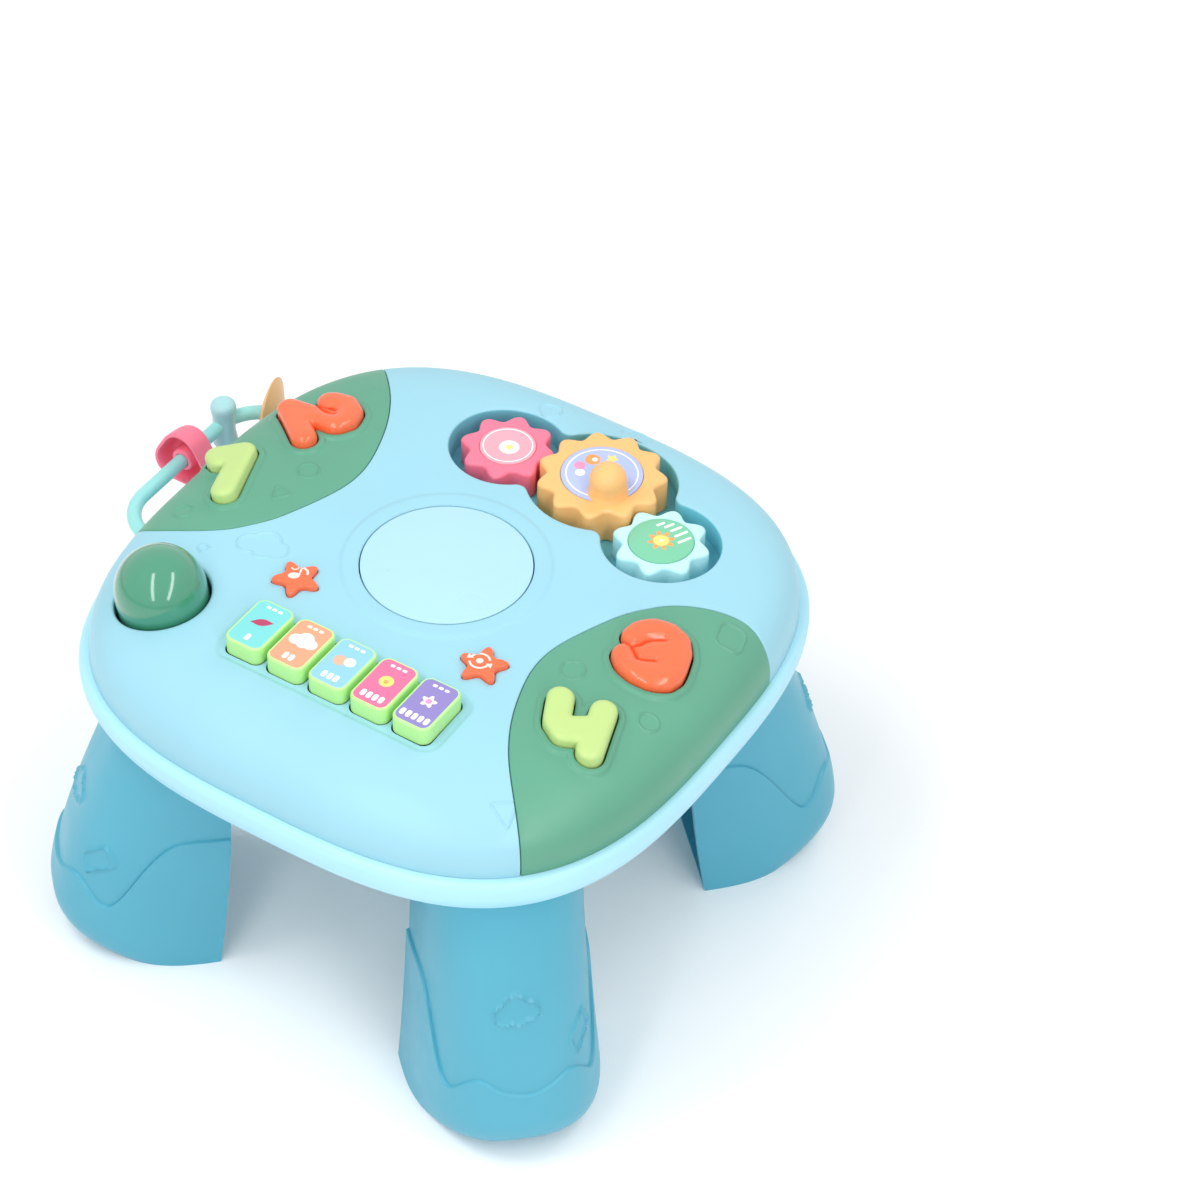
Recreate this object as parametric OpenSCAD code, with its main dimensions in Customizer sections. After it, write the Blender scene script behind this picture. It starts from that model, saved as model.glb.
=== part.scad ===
/* [Table top] */
// Half width of the top at the parting line
top_half = 160; // [154:1:172]
// Squareness of the plan: 2 is a circle, higher is squarer
plan_n = 3; // [2.8:0.1:3.2]
// Height of the parting line above the floor
part_z = 175; // [165:1:200]
// Height of the domed top above the parting line
dome_h = 36; // [33:1:40]
// How flat the middle of the dome is
dome_flat = 6.5; // [5.5:0.1:8]
// How square the shoulder of the dome is
dome_edge = 2.8; // [2.2:0.1:3.4]
// Wall of the top shell and of the leaf panels
top_wall = 2.8; // [2.2:0.1:3.2]
// Gap round the leaf panels
leaf_gap = 0.3; // [0.2:0.05:0.6]

/* [Base shell] */
// Wall of the base shell
base_wall = 2.6; // [2:0.1:3.2]
// Depth of the base shell below the parting line
base_depth = 27; // [25:0.5:30]
// How far the rounded rim stands out past the top
rim_out = 4.9; // [3:0.1:6]

/* [Legs] */
// Half width of a leg at its open side, at the floor
leg_half_foot = 48.8; // [44:0.2:52]
// Half width of a leg at its open side, at the top
leg_half_top = 41; // [37:0.5:43]
// How far a foot bulges out past the corner of the top
foot_out = 28; // [18:1:34]
// Wall of a leg
leg_wall = 3; // [2.4:0.1:4]
// Length of the tongue that pushes up into the base
tongue_l = 13; // [9:0.5:16]

/* [Lens and stars] */
// Radius of the light lens
lens_r = 43; // [38:0.5:46]
// How far the lens stands proud
lens_proud = 4; // [2:0.5:7]
// Travel of the lens when pressed
lens_travel = 2; // [1:0.25:3]
// Distance of each star from the middle line
star_x = 55; // [52:0.5:62]
// Distance of the stars in front of the centre
star_y = 50.5; // [47:0.5:56]
// Radius of a star at its tips
star_r = 12.2; // [10:0.1:13.5]
// Travel of a star button
star_travel = 2; // [1:0.25:3]

/* [Keys] */
// Distance from key to key
key_pitch = 24.4; // [23.5:0.1:26]
// Width of a key
key_w = 21.4; // [19:0.1:22]
// Length of a key
key_l = 33.2; // [28:0.2:35]
// How far the keys stand above the top
key_proud = 7.7; // [5:0.1:10]
// Travel of a key
key_travel = 2.8; // [1.5:0.1:4]
// Distance of the key row in front of the centre
key_y = 92.3; // [90:0.1:95]

/* [Numbers and dome button] */
// Width of the stroke that the numbers are drawn with
stroke_w = 13.6; // [12:0.1:14.4]
// How far the numbers stand above the leaf panels
number_proud = 8; // [6:0.5:10]
// Travel of a number button
number_travel = 2.4; // [1:0.1:3.5]
// Radius of the dome button
dome_r = 25; // [22:0.5:26]
// Height of the dome button above the top
dome_top = 16; // [12:0.5:20]
// Travel of the dome button
dome_travel = 3.5; // [2:0.25:5]

/* [Gears] */
// Teeth on each small gear
small_teeth = 8; // [7:1:9]
// Teeth on the middle gear
big_teeth = 11; // [10:1:12]
// Distance between the axles of two meshing gears
gear_centres = 54.2; // [52:0.2:56]
// Height of the teeth from the pitch circle
tooth_h = 2.5; // [1.8:0.1:2.8]
// Thickness of the small gears
gear_t = 15; // [12:0.5:17]
// Gap between the gears and the wall of their well
well_gap = 5; // [3:0.5:7]
// Diameter of the gear spindles
spindle_d = 8; // [6:0.5:10]
// Height of the turning knob above the middle gear
knob_h = 20; // [14:1:24]

/* [Bead rail] */
// Diameter of the rail tube
rail_d = 7.8; // [6:0.2:9]
// How far the rail stands out from the parting line
rail_out = 31; // [29:0.5:36]
// Radius of the rail's bends
rail_bend = 25; // [22:0.5:26]
// Distance between the two roots of the rail
rail_span = 117; // [112:1:122]

/* [Fits] */
// Gap between a button and its hole
button_gap = 0.6; // [0.4:0.05:1]
// Radial running clearance of the gears on their spindles
run_gap = 0.05; // [0.03:0.01:0.1]
// Clearance of parts that push together
fit_gap = 0.25; // [0.15:0.05:0.4]
// Core diameter of the case screws
screw_d = 2.8; // [2.4:0.1:3.4]

/* [Hidden] */
$fn = 48;

// Colours
sky = [0.69, 0.92, 0.98];
pale = [0.70, 0.89, 0.95];
leaf_green = [0.43, 0.69, 0.59];
leg_teal = [0.43, 0.76, 0.86];
coral = [1.0, 0.55, 0.39];
lime = [0.75, 0.94, 0.63];
pale_green = [0.78, 0.91, 0.59];
rose = [0.95, 0.48, 0.58];
sand = [0.98, 0.80, 0.56];
mint = [0.67, 0.92, 0.89];
steel = [0.75, 0.76, 0.78];
board_green = [0.16, 0.42, 0.26];
rubber_grey = [0.55, 0.56, 0.58];
black = [0.13, 0.13, 0.14];

// Steps round the plan and across the dome
PLAN_STEPS = 44;
DOME_RINGS = 8;
// Overlap of solids that join, and how far a cut runs past what it cuts
EPS = 0.01;
OVER = 20;

// Thickness of the circuit boards, and radius of the posts that carry them
BOARD_T = 1.6;
POST_R = 3.5;
// Height of a rubber pad when its button is pressed home, and the gap above a pad at rest
PAD_FLAT = 2.1;
PAD_GAP = 0.05;

// ---- Plan and dome ------------------------------------------------------------

// Point of the rounded-square plan of a given half width, in the direction of angle a
function plan_at(half, a) =
    half / pow(pow(abs(cos(a)), plan_n) + pow(abs(sin(a)), plan_n), 1 / plan_n) * [cos(a), sin(a)];
function rho(x, y) = pow(pow(abs(x), plan_n) + pow(abs(y), plan_n), 1 / plan_n) / top_half;
function dome_rise(r) = pow(max(0, 1 - pow(min(1, r), dome_flat)), 1 / dome_edge);
function dome_z(x, y) = part_z + dome_h * dome_rise(rho(x, y));
function dome_slope(x, y, h = 0.5) = [
    (dome_z(x + h, y) - dome_z(x - h, y)) / (2 * h),
    (dome_z(x, y + h) - dome_z(x, y - h)) / (2 * h)
];
// Spacing of the rings: closer towards the shoulder
function ring_rho(i) = 1 - pow(1 - i / DOME_RINGS, 2.4);

// Distance of the plan's corners from the middle
corner_r = norm(plan_at(top_half, 45));

// Joins closed rings of points, all with as many points, into one closed solid
module loft(rings) {
    n = len(rings[0]);
    m = len(rings);
    points = [for (ring = rings) each ring];
    sides = [for (j = [0 : m - 2], i = [0 : n - 1])
        let (a = j * n + i, b = j * n + (i + 1) % n)
        each [[a, b + n, b], [a, a + n, b + n]]];
    bottom = [[for (i = [0 : n - 1]) i]];
    top = [[for (i = [n - 1 : -1 : 0]) (m - 1) * n + i]];
    polyhedron(points, concat(bottom, sides, top), convexity = 8);
}

// Ring of the plan at one height
function plan_ring(half, z) = [for (k = [0 : PLAN_STEPS - 1])
    let (p = plan_at(half, k * 360 / PLAN_STEPS)) [p[0], p[1], z]];

// Solid dome, let in by depth from the outer surface, down to drop below the parting line
module dome_solid(depth, drop) {
    n = PLAN_STEPS;
    half = top_half - depth;
    rings = concat(
        [plan_ring(half, part_z - drop)],
        [for (i = [DOME_RINGS : -1 : 1])
            plan_ring(half * ring_rho(i), part_z + (dome_h - depth) * dome_rise(ring_rho(i)))]
    );
    m = len(rings);
    points = concat([for (ring = rings) each ring], [[0, 0, part_z + dome_h - depth]]);
    sides = [for (j = [0 : m - 2], i = [0 : n - 1])
        let (a = j * n + i, b = j * n + (i + 1) % n)
        each [[a, b + n, b], [a, a + n, b + n]]];
    crown = [for (i = [0 : n - 1]) [(m - 1) * n + (i + 1) % n, (m - 1) * n + i, m * n]];
    polyhedron(points, concat([[for (i = [0 : n - 1]) i]], sides, crown), convexity = 4);
}

// Children stand on the dome at (x, y), with their Z along its normal
module on_dome(x, y) {
    s = dome_slope(x, y);
    normal = [-s[0], -s[1], 1];
    tilt = acos(1 / norm(normal));
    turn = atan2(normal[1], normal[0]);
    translate([x, y, dome_z(x, y)])
        rotate([0, 0, turn]) rotate([0, tilt, 0]) rotate([0, 0, -turn]) children();
}

// ---- Outlines -----------------------------------------------------------------

// Smooth curve through the points: Catmull-Rom, with steps pieces between two points
function smooth_path(p, steps) = concat(
    [for (i = [0 : len(p) - 2], k = [0 : steps - 1])
        let (
            a = p[max(0, i - 1)], b = p[i], c = p[i + 1], d = p[min(len(p) - 1, i + 2)],
            t = k / steps
        )
        0.5 * (2 * b + (c - a) * t + (2 * a - 5 * b + 4 * c - d) * t * t
            + (3 * b - a - 3 * c + d) * t * t * t)],
    [p[len(p) - 1]]
);
function unit(v) = v / norm(v);
function path_dir(p, i) = unit(p[min(len(p) - 1, i + 1)] - p[max(0, i - 1)]);
function left_of(v) = [-v[1], v[0]];

// Outline of a band of width w along a path, with a round cap of caps pieces at each end
function band(p, w, caps = 6) =
    let (n = len(p), d0 = path_dir(p, 0), d1 = path_dir(p, n - 1))
    concat(
        [for (i = [0 : n - 1]) p[i] - left_of(path_dir(p, i)) * w / 2],
        [for (k = [1 : caps - 1]) let (a = -90 + 180 * k / caps)
            p[n - 1] + (cos(a) * d1 + sin(a) * left_of(d1)) * w / 2],
        [for (i = [n - 1 : -1 : 0]) p[i] + left_of(path_dir(p, i)) * w / 2],
        [for (k = [1 : caps - 1]) let (a = 90 + 180 * k / caps)
            p[0] + (cos(a) * d0 + sin(a) * left_of(d0)) * w / 2]
    );
function at_z(outline, z) = [for (q = outline) [q[0], q[1], z]];

// Rounded rectangle, centred
function round_rect(w, l, r, steps = 5) = [for (q = [0 : 3], k = [0 : steps])
    let (
        a = q * 90 + k * 90 / steps,
        cx = (q == 0 || q == 3 ? 1 : -1) * (w / 2 - r),
        cy = (q < 2 ? 1 : -1) * (l / 2 - r)
    )
    [cx + r * cos(a), cy + r * sin(a)]];

// Five-pointed star with soft tips, first tip along +X
function star(r, steps = 40) = [for (k = [0 : steps - 1])
    let (a = k * 360 / steps, m = r * (0.765 + 0.2 * cos(5 * a) + 0.035 * cos(10 * a)))
    m * [cos(a), sin(a)]];

// Petal-toothed gear: the pitch circle with a smooth wave on it
function petals(pitch_r, teeth, h, turn, steps = 8) = [for (k = [0 : teeth * steps - 1])
    let (a = k * 360 / (teeth * steps), m = pitch_r + h * cos(teeth * (a - turn)))
    m * [cos(a), sin(a)]];

// ---- Leaf panels --------------------------------------------------------------

// Inner edge of the right leaf; the left one is the same, turned half round
leaf_tip = top_half - 26;
LEAF_EDGE = smooth_path([
    [leaf_tip, -leaf_tip], [98, -93], [80.5, -58], [75.5, -25],
    [88, 12], [115.5, 44.5], [143, 60], [top_half + 12, 62]
], 5);
function leaf_outline(grow) = concat(
    [for (i = [0 : len(LEAF_EDGE) - 1]) LEAF_EDGE[i] + left_of(path_dir(LEAF_EDGE, i)) * grow],
    [[top_half + 20, 62 + grow], [top_half + 20, -leaf_tip - 20], [leaf_tip, -leaf_tip - 20]]
);
module leaf_prism(grow) {
    linear_extrude(part_z + dome_h + 30) polygon(leaf_outline(grow));
}
LEDGE_W = 9;
LEDGE_T = 2;
LEDGE_EDGE = [for (i = [4 : len(LEAF_EDGE) - 9]) LEAF_EDGE[i]];

// ---- Numbers ------------------------------------------------------------------

// Strokes of the numbers, as paths about each number's own middle
function arc_path(c, r, a0, a1, steps) =
    [for (k = [0 : steps]) let (a = a0 + (a1 - a0) * k / steps) c + r * [cos(a), sin(a)]];
STROKES = [
    [[[2.6, -12], [2.6, 0], [2.6, 12]], [[1.8, 10.8], [-1.2, 7.6], [-4.4, 4.6]]],
    [concat(arc_path([0, 6.5], 9, 165, -30, 9), [[1.6, -6.2], [-9, -14.2]]),
        [[-9, -15.2], [0, -15.2], [11, -15.2]]],
    [arc_path([-1, 8.4], 8.2, 165, -75, 8), arc_path([0.5, -7], 9.6, 70, -168, 9)],
    [concat([[-12, 12], [-10.5, 0]], arc_path([-4, -4], 6, 190, 270, 4), [[4, -10]]),
        [[6.5, 14], [8.6, 0], [11, -14]]]
];
// Webs that fill the narrow slits of the numbers below their tops
WEBS = [
    [],
    [[[-6, 2], [-1, 5.5]], [[1.5, -10.5], [5.5, -7.5]]],
    [[[-6.5, 2], [0, 1.5]], [[-2, 8], [-1, -6]]],
    []
];
// Number, distance in from the side, distance from the middle line, turn
NUMBER_IN = [33.4, 44.8, 40, 42.5];
NUMBER_Y = [-4.8, 53.4, 2, -58.8];
NUMBER_TURN = [18, -35, 0, 6];
function number_side(k) = k < 2 ? -1 : 1;
function number_x(k) = number_side(k) * (top_half - NUMBER_IN[k]);
module at_number(k) {
    on_dome(number_x(k), NUMBER_Y[k]) rotate(NUMBER_TURN[k]) children();
}
module strokes(paths) {
    for (path = paths) polygon(band(path, stroke_w));
}
// Space of a number with its slits filled, grown on every side, between two heights
module number_prism(k, grow, z0, z1) {
    translate([0, 0, z0]) linear_extrude(z1 - z0) offset(delta = grow)
        strokes(concat(STROKES[k], WEBS[k]));
}
NUMBER_RIM = 4.4;
NUMBER_RIM_H = 1.4;
NUMBER_SKIRT = 7;
NUMBER_FLANGE = 1.6;
NUMBER_SOFT = 2.8;
NUMBER_SLIT = 4.5;
NUMBER_STEM = 11.5;
// How far each number's board reaches to the side for its two posts
NUMBER_POST = 23;

// One number button: soft-edged strokes, a skirt, a flange under the panel and a stem
module number_button(k) {
    at_number(k) {
        minkowski() {
            translate([0, 0, -1]) linear_extrude(number_proud - NUMBER_SOFT + 1)
                offset(delta = -NUMBER_SOFT - 0.4) offset(delta = 0.4) strokes(STROKES[k]);
            sphere(r = NUMBER_SOFT, $fn = 12);
        }
        number_prism(k, -0.02, -NUMBER_SKIRT - 1, number_proud - NUMBER_SLIT);
        number_prism(k, NUMBER_FLANGE, -NUMBER_SKIRT - 1.4, -NUMBER_SKIRT);
        translate([0, 0, -NUMBER_STEM]) cylinder(r = 4, h = NUMBER_STEM - NUMBER_SKIRT);
    }
}
number_board = -NUMBER_STEM - number_travel - PAD_FLAT;
module number_board_posts(k) {
    for (side = [-1, 1]) at_number(k) translate([side * NUMBER_POST, 0, number_board])
        cylinder(r = POST_R, h = 1 - number_board);
}

// Leaf panel for numbers first and first + 1, on the side the first stands on
module leaf_panel(first) {
    turn = number_side(first) < 0 ? 180 : 0;
    difference() {
        union() {
            intersection() {
                dome_solid(0, 0);
                rotate(turn) leaf_prism(0);
            }
            for (k = [first, first + 1]) at_number(k)
                number_prism(k, NUMBER_RIM, -2, NUMBER_RIM_H);
        }
        difference() {
            dome_solid(top_wall - 0.1, 2);
            for (k = [first, first + 1]) number_board_posts(k);
        }
        for (k = [first, first + 1]) at_number(k) number_prism(k, button_gap, -NUMBER_SKIRT - 2, 8);
    }
}

// ---- Top shell ----------------------------------------------------------------

GEAR_X = 29;
GEAR_Y = 98;
LEFT_ANGLE = 184.8;
RIGHT_ANGLE = -24.6;
pitch_small = gear_centres * small_teeth / (small_teeth + big_teeth);
pitch_big = gear_centres * big_teeth / (small_teeth + big_teeth);
GEAR_AT = [
    [GEAR_X, GEAR_Y] + gear_centres * [cos(LEFT_ANGLE), sin(LEFT_ANGLE)],
    [GEAR_X, GEAR_Y],
    [GEAR_X, GEAR_Y] + gear_centres * [cos(RIGHT_ANGLE), sin(RIGHT_ANGLE)]
];
GEAR_PITCH = [pitch_small, pitch_big, pitch_small];
GEAR_TEETH = [small_teeth, big_teeth, small_teeth];
gear_top = part_z + dome_h - 1;
well_z = gear_top - gear_t - 1;
MIDDLE_LIFT = 4;
function well_r(k) = GEAR_PITCH[k] + tooth_h + well_gap;

module well_lobes(grow, z0, z1) {
    for (k = [0 : 2]) translate([GEAR_AT[k][0], GEAR_AT[k][1], z0])
        cylinder(r = well_r(k) + grow, h = z1 - z0, $fn = 72);
}

KEY_X = 2;
function key_at(k) = KEY_X + (k - 2) * key_pitch;
KEY_CORNER = 5;
KEY_SKIRT = 8;
KEY_FLANGE = 2.5;
key_top = part_z + dome_h + key_proud - 0.4;
TRAY_DEEP = 1;
TRAY_EDGE = 4;
key_under = part_z + dome_h - TRAY_DEEP - top_wall - 1.8;
KEY_STEM = 4;
board_z = key_under - KEY_SKIRT - key_travel - PAD_FLAT;
star_stem_z = board_z + star_travel + PAD_FLAT;

DOME_X = 52.5;
DOME_Y = 71;
module at_dome() { on_dome(DOME_X - top_half, DOME_Y - top_half) children(); }
DOME_COLLAR = 12;

POST_GAP = 0.3;
// Places of the case screws
SCREW_AT = [[-62, -124], [74, -118], [-64, 28], [64, 26], [-66, 128], [116, 112], [0, 147]];
post_split = part_z + 6;
lens_bottom = part_z + dome_h - 9;
led_z = lens_bottom - lens_travel - PAD_FLAT;

module top_shell() {
    color(sky) difference() {
        dome_solid(0, 0);
        difference() {
            dome_solid(top_wall, 1);
            // ledges that carry the leaf panels
            for (turn = [0, 180]) rotate(turn) difference() {
                translate([0, 0, part_z]) linear_extrude(dome_h) polygon(band(LEDGE_EDGE, LEDGE_W));
                dome_solid(top_wall + LEDGE_T, 1);
            }
            // walls and floor of the gear well
            well_lobes(2.4, well_z - 2.4, part_z + dome_h);
            // collar of the dome button
            at_dome() translate([0, 0, -DOME_COLLAR])
                cylinder(r = dome_r + button_gap + 2, h = DOME_COLLAR + 2, $fn = 64);
            // collar of the lens
            translate([0, 0, lens_bottom]) cylinder(r = lens_r + button_gap + 2, h = 20, $fn = 72);
            // posts for the case screws
            for (p = SCREW_AT) translate([p[0], p[1], post_split]) cylinder(r = POST_R, h = dome_h);
            // posts for the switch boards
            for (p = concat(KEY_BOARD_POSTS, STAR_BOARD_POSTS)) translate([p[0], p[1], board_z])
                cylinder(r = POST_R, h = dome_h);
            for (a = [30, 150, 270]) translate([LENS_POST_OUT * cos(a), LENS_POST_OUT * sin(a), led_z])
                cylinder(r = POST_R, h = dome_h);
            for (side = [-1, 1]) at_dome() translate([side * DOME_POST, 0, -DOME_DEEP])
                cylinder(r = POST_R, h = DOME_DEEP + 2);
        }
        // openings for the leaf panels, down to their ledges
        for (turn = [0, 180]) rotate(turn) difference() {
            leaf_prism(leaf_gap);
            dome_solid(top_wall, 2);
        }
        well_lobes(0, well_z, part_z + dome_h + 10);
        for (p = GEAR_AT) translate([p[0], p[1], well_z - 5])
            cylinder(d = spindle_d - 2 + 2 * run_gap, h = 10);
        at_dome() cylinder(r = dome_r + button_gap, h = 2 * OVER, center = true, $fn = 64);
        translate([0, 0, led_z]) cylinder(r = lens_r + button_gap, h = 60, $fn = 72);
        for (side = [-1, 1]) translate([side * star_x, -star_y, part_z + dome_h - 12])
            rotate(side < 0 ? 0 : 180) linear_extrude(20) polygon(star(star_r + button_gap));
        // key tray and key openings
        translate([KEY_X, -key_y, key_top - key_proud + 0.4 - TRAY_DEEP]) linear_extrude(20)
            polygon(round_rect(5 * key_pitch + 2 * TRAY_EDGE, key_l + 2 * TRAY_EDGE, 9));
        for (k = [0 : 4]) translate([key_at(k), -key_y, part_z + dome_h - 12]) linear_extrude(20)
            polygon(round_rect(key_w + 2 * button_gap, key_l + 2 * button_gap, KEY_CORNER));
        for (p = SCREW_AT) translate([p[0], p[1], post_split - EPS]) cylinder(d = screw_d, h = 12);
    }
}

// ---- Base shell ---------------------------------------------------------------

base_z = part_z - base_depth;
floor_in = base_z + base_wall;
LIP_GAP = 0.3;
LIP_T = 1.6;
LIP_H = 2.6;
RIM_GAP = 0.3;

// Rim of the base in section: offset from the parting line's outline, and height
base_profile = [
    [-0.62 * top_half, base_z], [-11.5, base_z], [-4.5, base_z + 1.9], [1.2, base_z + 8.4],
    [rim_out - 0.7, base_z + 15.5], [rim_out, base_z + 21.6], [rim_out - 0.6, part_z - 2.2],
    [rim_out - 2.6, part_z - RIM_GAP], [-top_wall - LIP_GAP, part_z - RIM_GAP],
    [-top_wall - LIP_GAP, part_z + LIP_H], [-top_wall - LIP_GAP - LIP_T, part_z + LIP_H],
    [-top_wall - LIP_GAP - LIP_T, part_z - 3], [rim_out - base_wall, part_z - 5],
    [rim_out - base_wall, base_z + 19], [0.7 - base_wall, base_z + 9.4],
    [-12.2, floor_in], [-0.62 * top_half, floor_in]
];

LEG_TOP_GAP = 0.1;
leg_top_z = base_z - LEG_TOP_GAP;
BAY = [60, 48];
BAY_AT = [0, 52];
BAY_H = 17;
BAY_WALL = 1.8;
DOOR_T = 2.2;
DOOR_LIP = 3;
SPEAKER_AT = [-8, -34];
SPEAKER_R = 25;
SPEAKER_H = 17;
SWITCH_AT = [72, -44];
SWITCH_TRAVEL = 5;
RAIL_DROP = 12;
RAIL_MID_Y = 33.5;
rail_z = part_z - RAIL_DROP;
RAIL_IN = 16;
rail_x = -(top_half + rail_out);

// Shell with its rounded rim, leg sockets, screw posts, battery bay and speaker grille
module base_shell() {
    color(pale) difference() {
        union() {
            loft([for (p = base_profile) plan_ring(top_half + p[0], p[1])]);
            // sockets for the tongues of the legs
            for (a = LEG_ANGLES) rotate(a) translate([0, 0, floor_in - 1])
                linear_extrude(tongue_l + 2) polygon(band(tongue_path(), TONGUE_T + 2 * fit_gap + 3.6));
            // posts for the case screws
            for (p = SCREW_AT) translate([p[0], p[1], floor_in - 1])
                cylinder(r = POST_R + 1.5, h = post_split - POST_GAP - floor_in + 1);
            // battery bay
            translate([BAY_AT[0], BAY_AT[1], floor_in - 1]) linear_extrude(BAY_H + BAY_WALL + 1)
                square([BAY[0] + 2 * BAY_WALL, BAY[1] + 2 * BAY_WALL], center = true);
            // ring round the speaker and its four posts
            translate([SPEAKER_AT[0], SPEAKER_AT[1], floor_in - 1]) difference() {
                cylinder(r = SPEAKER_R + 2.6, h = 5);
                translate([0, 0, -1]) cylinder(r = SPEAKER_R + fit_gap, h = 7);
            }
            speaker_posts(POST_R, floor_in - 1, floor_in + SPEAKER_FLANGE_Z);
            // posts for the main board
            for (p = MAIN_POSTS) translate([p[0], p[1], floor_in - 1])
                cylinder(r = POST_R, h = main_z - floor_in + 1);
            // sockets of the rail
            for (y = rail_roots()) translate([-rail_wall_x(y) + 2, y, rail_z]) rotate([0, 90, 0])
                cylinder(d = rail_d + 5, h = RAIL_IN);
        }
        for (a = LEG_ANGLES) rotate(a) translate([0, 0, base_z - 1])
            linear_extrude(tongue_l + 1.5) polygon(band(tongue_path(), TONGUE_T + 2 * fit_gap));
        for (p = SCREW_AT) translate([p[0], p[1], 0]) {
            cylinder(d = screw_d + 0.6, h = part_z + dome_h);
            translate([0, 0, base_z - 1]) cylinder(d = 2 * screw_d + 0.8, h = post_split - base_z - 7);
        }
        // bay, door recess and the door's screw
        translate([BAY_AT[0], BAY_AT[1], base_z - 1]) linear_extrude(BAY_H + base_wall + 1)
            square(BAY, center = true);
        translate([BAY_AT[0], BAY_AT[1], base_z - 1]) linear_extrude(DOOR_T + 1 + fit_gap)
            polygon(round_rect(door_w + 2 * fit_gap, door_l + 2 * fit_gap, 4));
        translate([BAY_AT[0], BAY_AT[1] - BAY[1] / 2 - BAY_WALL - 3.4, base_z - 1])
            cylinder(d = screw_d - 0.4, h = 9);
        // grille of the speaker: rings of holes
        for (ring = [0 : 3], k = [0 : max(0, ring * 6 - 1)])
            translate([SPEAKER_AT[0], SPEAKER_AT[1], base_z - 1])
                rotate(k * 360 / max(1, ring * 6)) translate([ring * 5.4, 0, 0])
                    cylinder(d = 2.6, h = base_wall + 2, $fn = 16);
        speaker_posts(screw_d / 2 - 0.1, floor_in, floor_in + 20);
        for (p = MAIN_POSTS) translate([p[0], p[1], main_z - 8]) cylinder(d = screw_d - 0.2, h = 10);
        // slot for the power switch
        translate([SWITCH_AT[0], SWITCH_AT[1], base_z - 1]) linear_extrude(base_wall + 2)
            square([SLIDER_W + SWITCH_TRAVEL + 1.2, SLIDER_L + 0.8], center = true);
        for (y = rail_roots()) translate([-rail_wall_x(y) - 20, y, rail_z]) rotate([0, 90, 0])
            cylinder(d = rail_d + 0.1, h = RAIL_IN + 20);
    }
}

// ---- Legs ---------------------------------------------------------------------

LEG_ANGLES = [225, 315, 135, 45];
FOOT_BULGE_Z = 26;
FOOT_TUCK = 20;
leg_out_foot = corner_r + foot_out;
leg_out_top = corner_r - 14;
leg_in_foot = corner_r - 50.5;
leg_in_top = corner_r - 62;
LEG_SQUARE = 2.7;
BOOT_STEP = 1.5;
BOOT_MID = 46;
BOOT_WAVE = 19;
TONGUE_T = 1.8;
TONGUE_SWEEP = 66;

// Radius of the outer face on the diagonal, at height z
function leg_outer(z) = z > FOOT_BULGE_Z
    ? leg_out_foot - (leg_out_foot - leg_out_top)
        * pow((z - FOOT_BULGE_Z) / (leg_top_z - FOOT_BULGE_Z), 1.4)
    : leg_out_foot - FOOT_TUCK * pow((FOOT_BULGE_Z - z) / FOOT_BULGE_Z, 2.4);
function leg_inner(z) = leg_in_top + (leg_in_foot - leg_in_top) * pow(1 - z / leg_top_z, 2.2);
function leg_half(z) = leg_half_top + (leg_half_foot - leg_half_top) * pow(1 - z / leg_top_z, 2.2);
function signed_pow(v, e) = sign(v) * pow(abs(v), e);

// Point of the C-section at angle a, -90 to 90, at height z, moved out by grow
function leg_point(a, z, grow) = let (
        e = 2 / LEG_SQUARE,
        depth = leg_outer(z) - leg_inner(z) + grow,
        half = leg_half(z) + grow
    )
    [leg_inner(z) + depth * pow(max(0, cos(a)), e), half * signed_pow(sin(a), e), z];
LEG_STEPS = 16;
function leg_angle(i) = -90 + 180 * i / LEG_STEPS;
// Height of the wavy upper border of the boot
function boot_z(a) = BOOT_MID + BOOT_WAVE * cos(4 * a);
// Ring at share v of the height of the smooth part above the boot, or of the boot
function upper_ring(v) = [for (i = [0 : LEG_STEPS]) let (a = leg_angle(i), b = boot_z(a))
    leg_point(a, b + (leg_top_z - b) * v, 0)];
function boot_ring(v) = [for (i = [0 : LEG_STEPS]) let (a = leg_angle(i), b = boot_z(a) - 1.2)
    leg_point(a, b * v, BOOT_STEP)];
// Ring of the hollow, carried past the open side
function hollow_ring(z, z_at) = concat(
    [for (i = [0 : LEG_STEPS]) let (p = leg_point(leg_angle(i), z, -leg_wall)) [p[0], p[1], z_at]],
    [[leg_inner(z) - 20, leg_half(z) - leg_wall, z_at], [leg_inner(z) - 20, leg_wall - leg_half(z), z_at]]
);
// Middle of the wall at the top of a leg, where the tongue stands
function tongue_path() = [for (i = [0 : 12])
    let (p = leg_point(-TONGUE_SWEEP + 2 * TONGUE_SWEEP * i / 12, leg_top_z, -leg_wall / 2)) [p[0], p[1]]];

module leg() {
    difference() {
        loft(concat(
            [for (v = [0, 0.08, 0.22, 0.45, 0.75, 1]) boot_ring(v)],
            [for (v = [0, 0.2, 0.42, 0.65, 0.85, 1]) upper_ring(v)]
        ));
        loft(concat(
            [for (z = [leg_wall, 12, 26, 50, 80, 110]) hollow_ring(z, z)],
            [hollow_ring(leg_top_z, leg_top_z + 1)]
        ));
    }
    translate([0, 0, leg_top_z - 8]) linear_extrude(tongue_l + 8)
        polygon(band(tongue_path(), TONGUE_T));
}

// ---- Buttons ------------------------------------------------------------------

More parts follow.
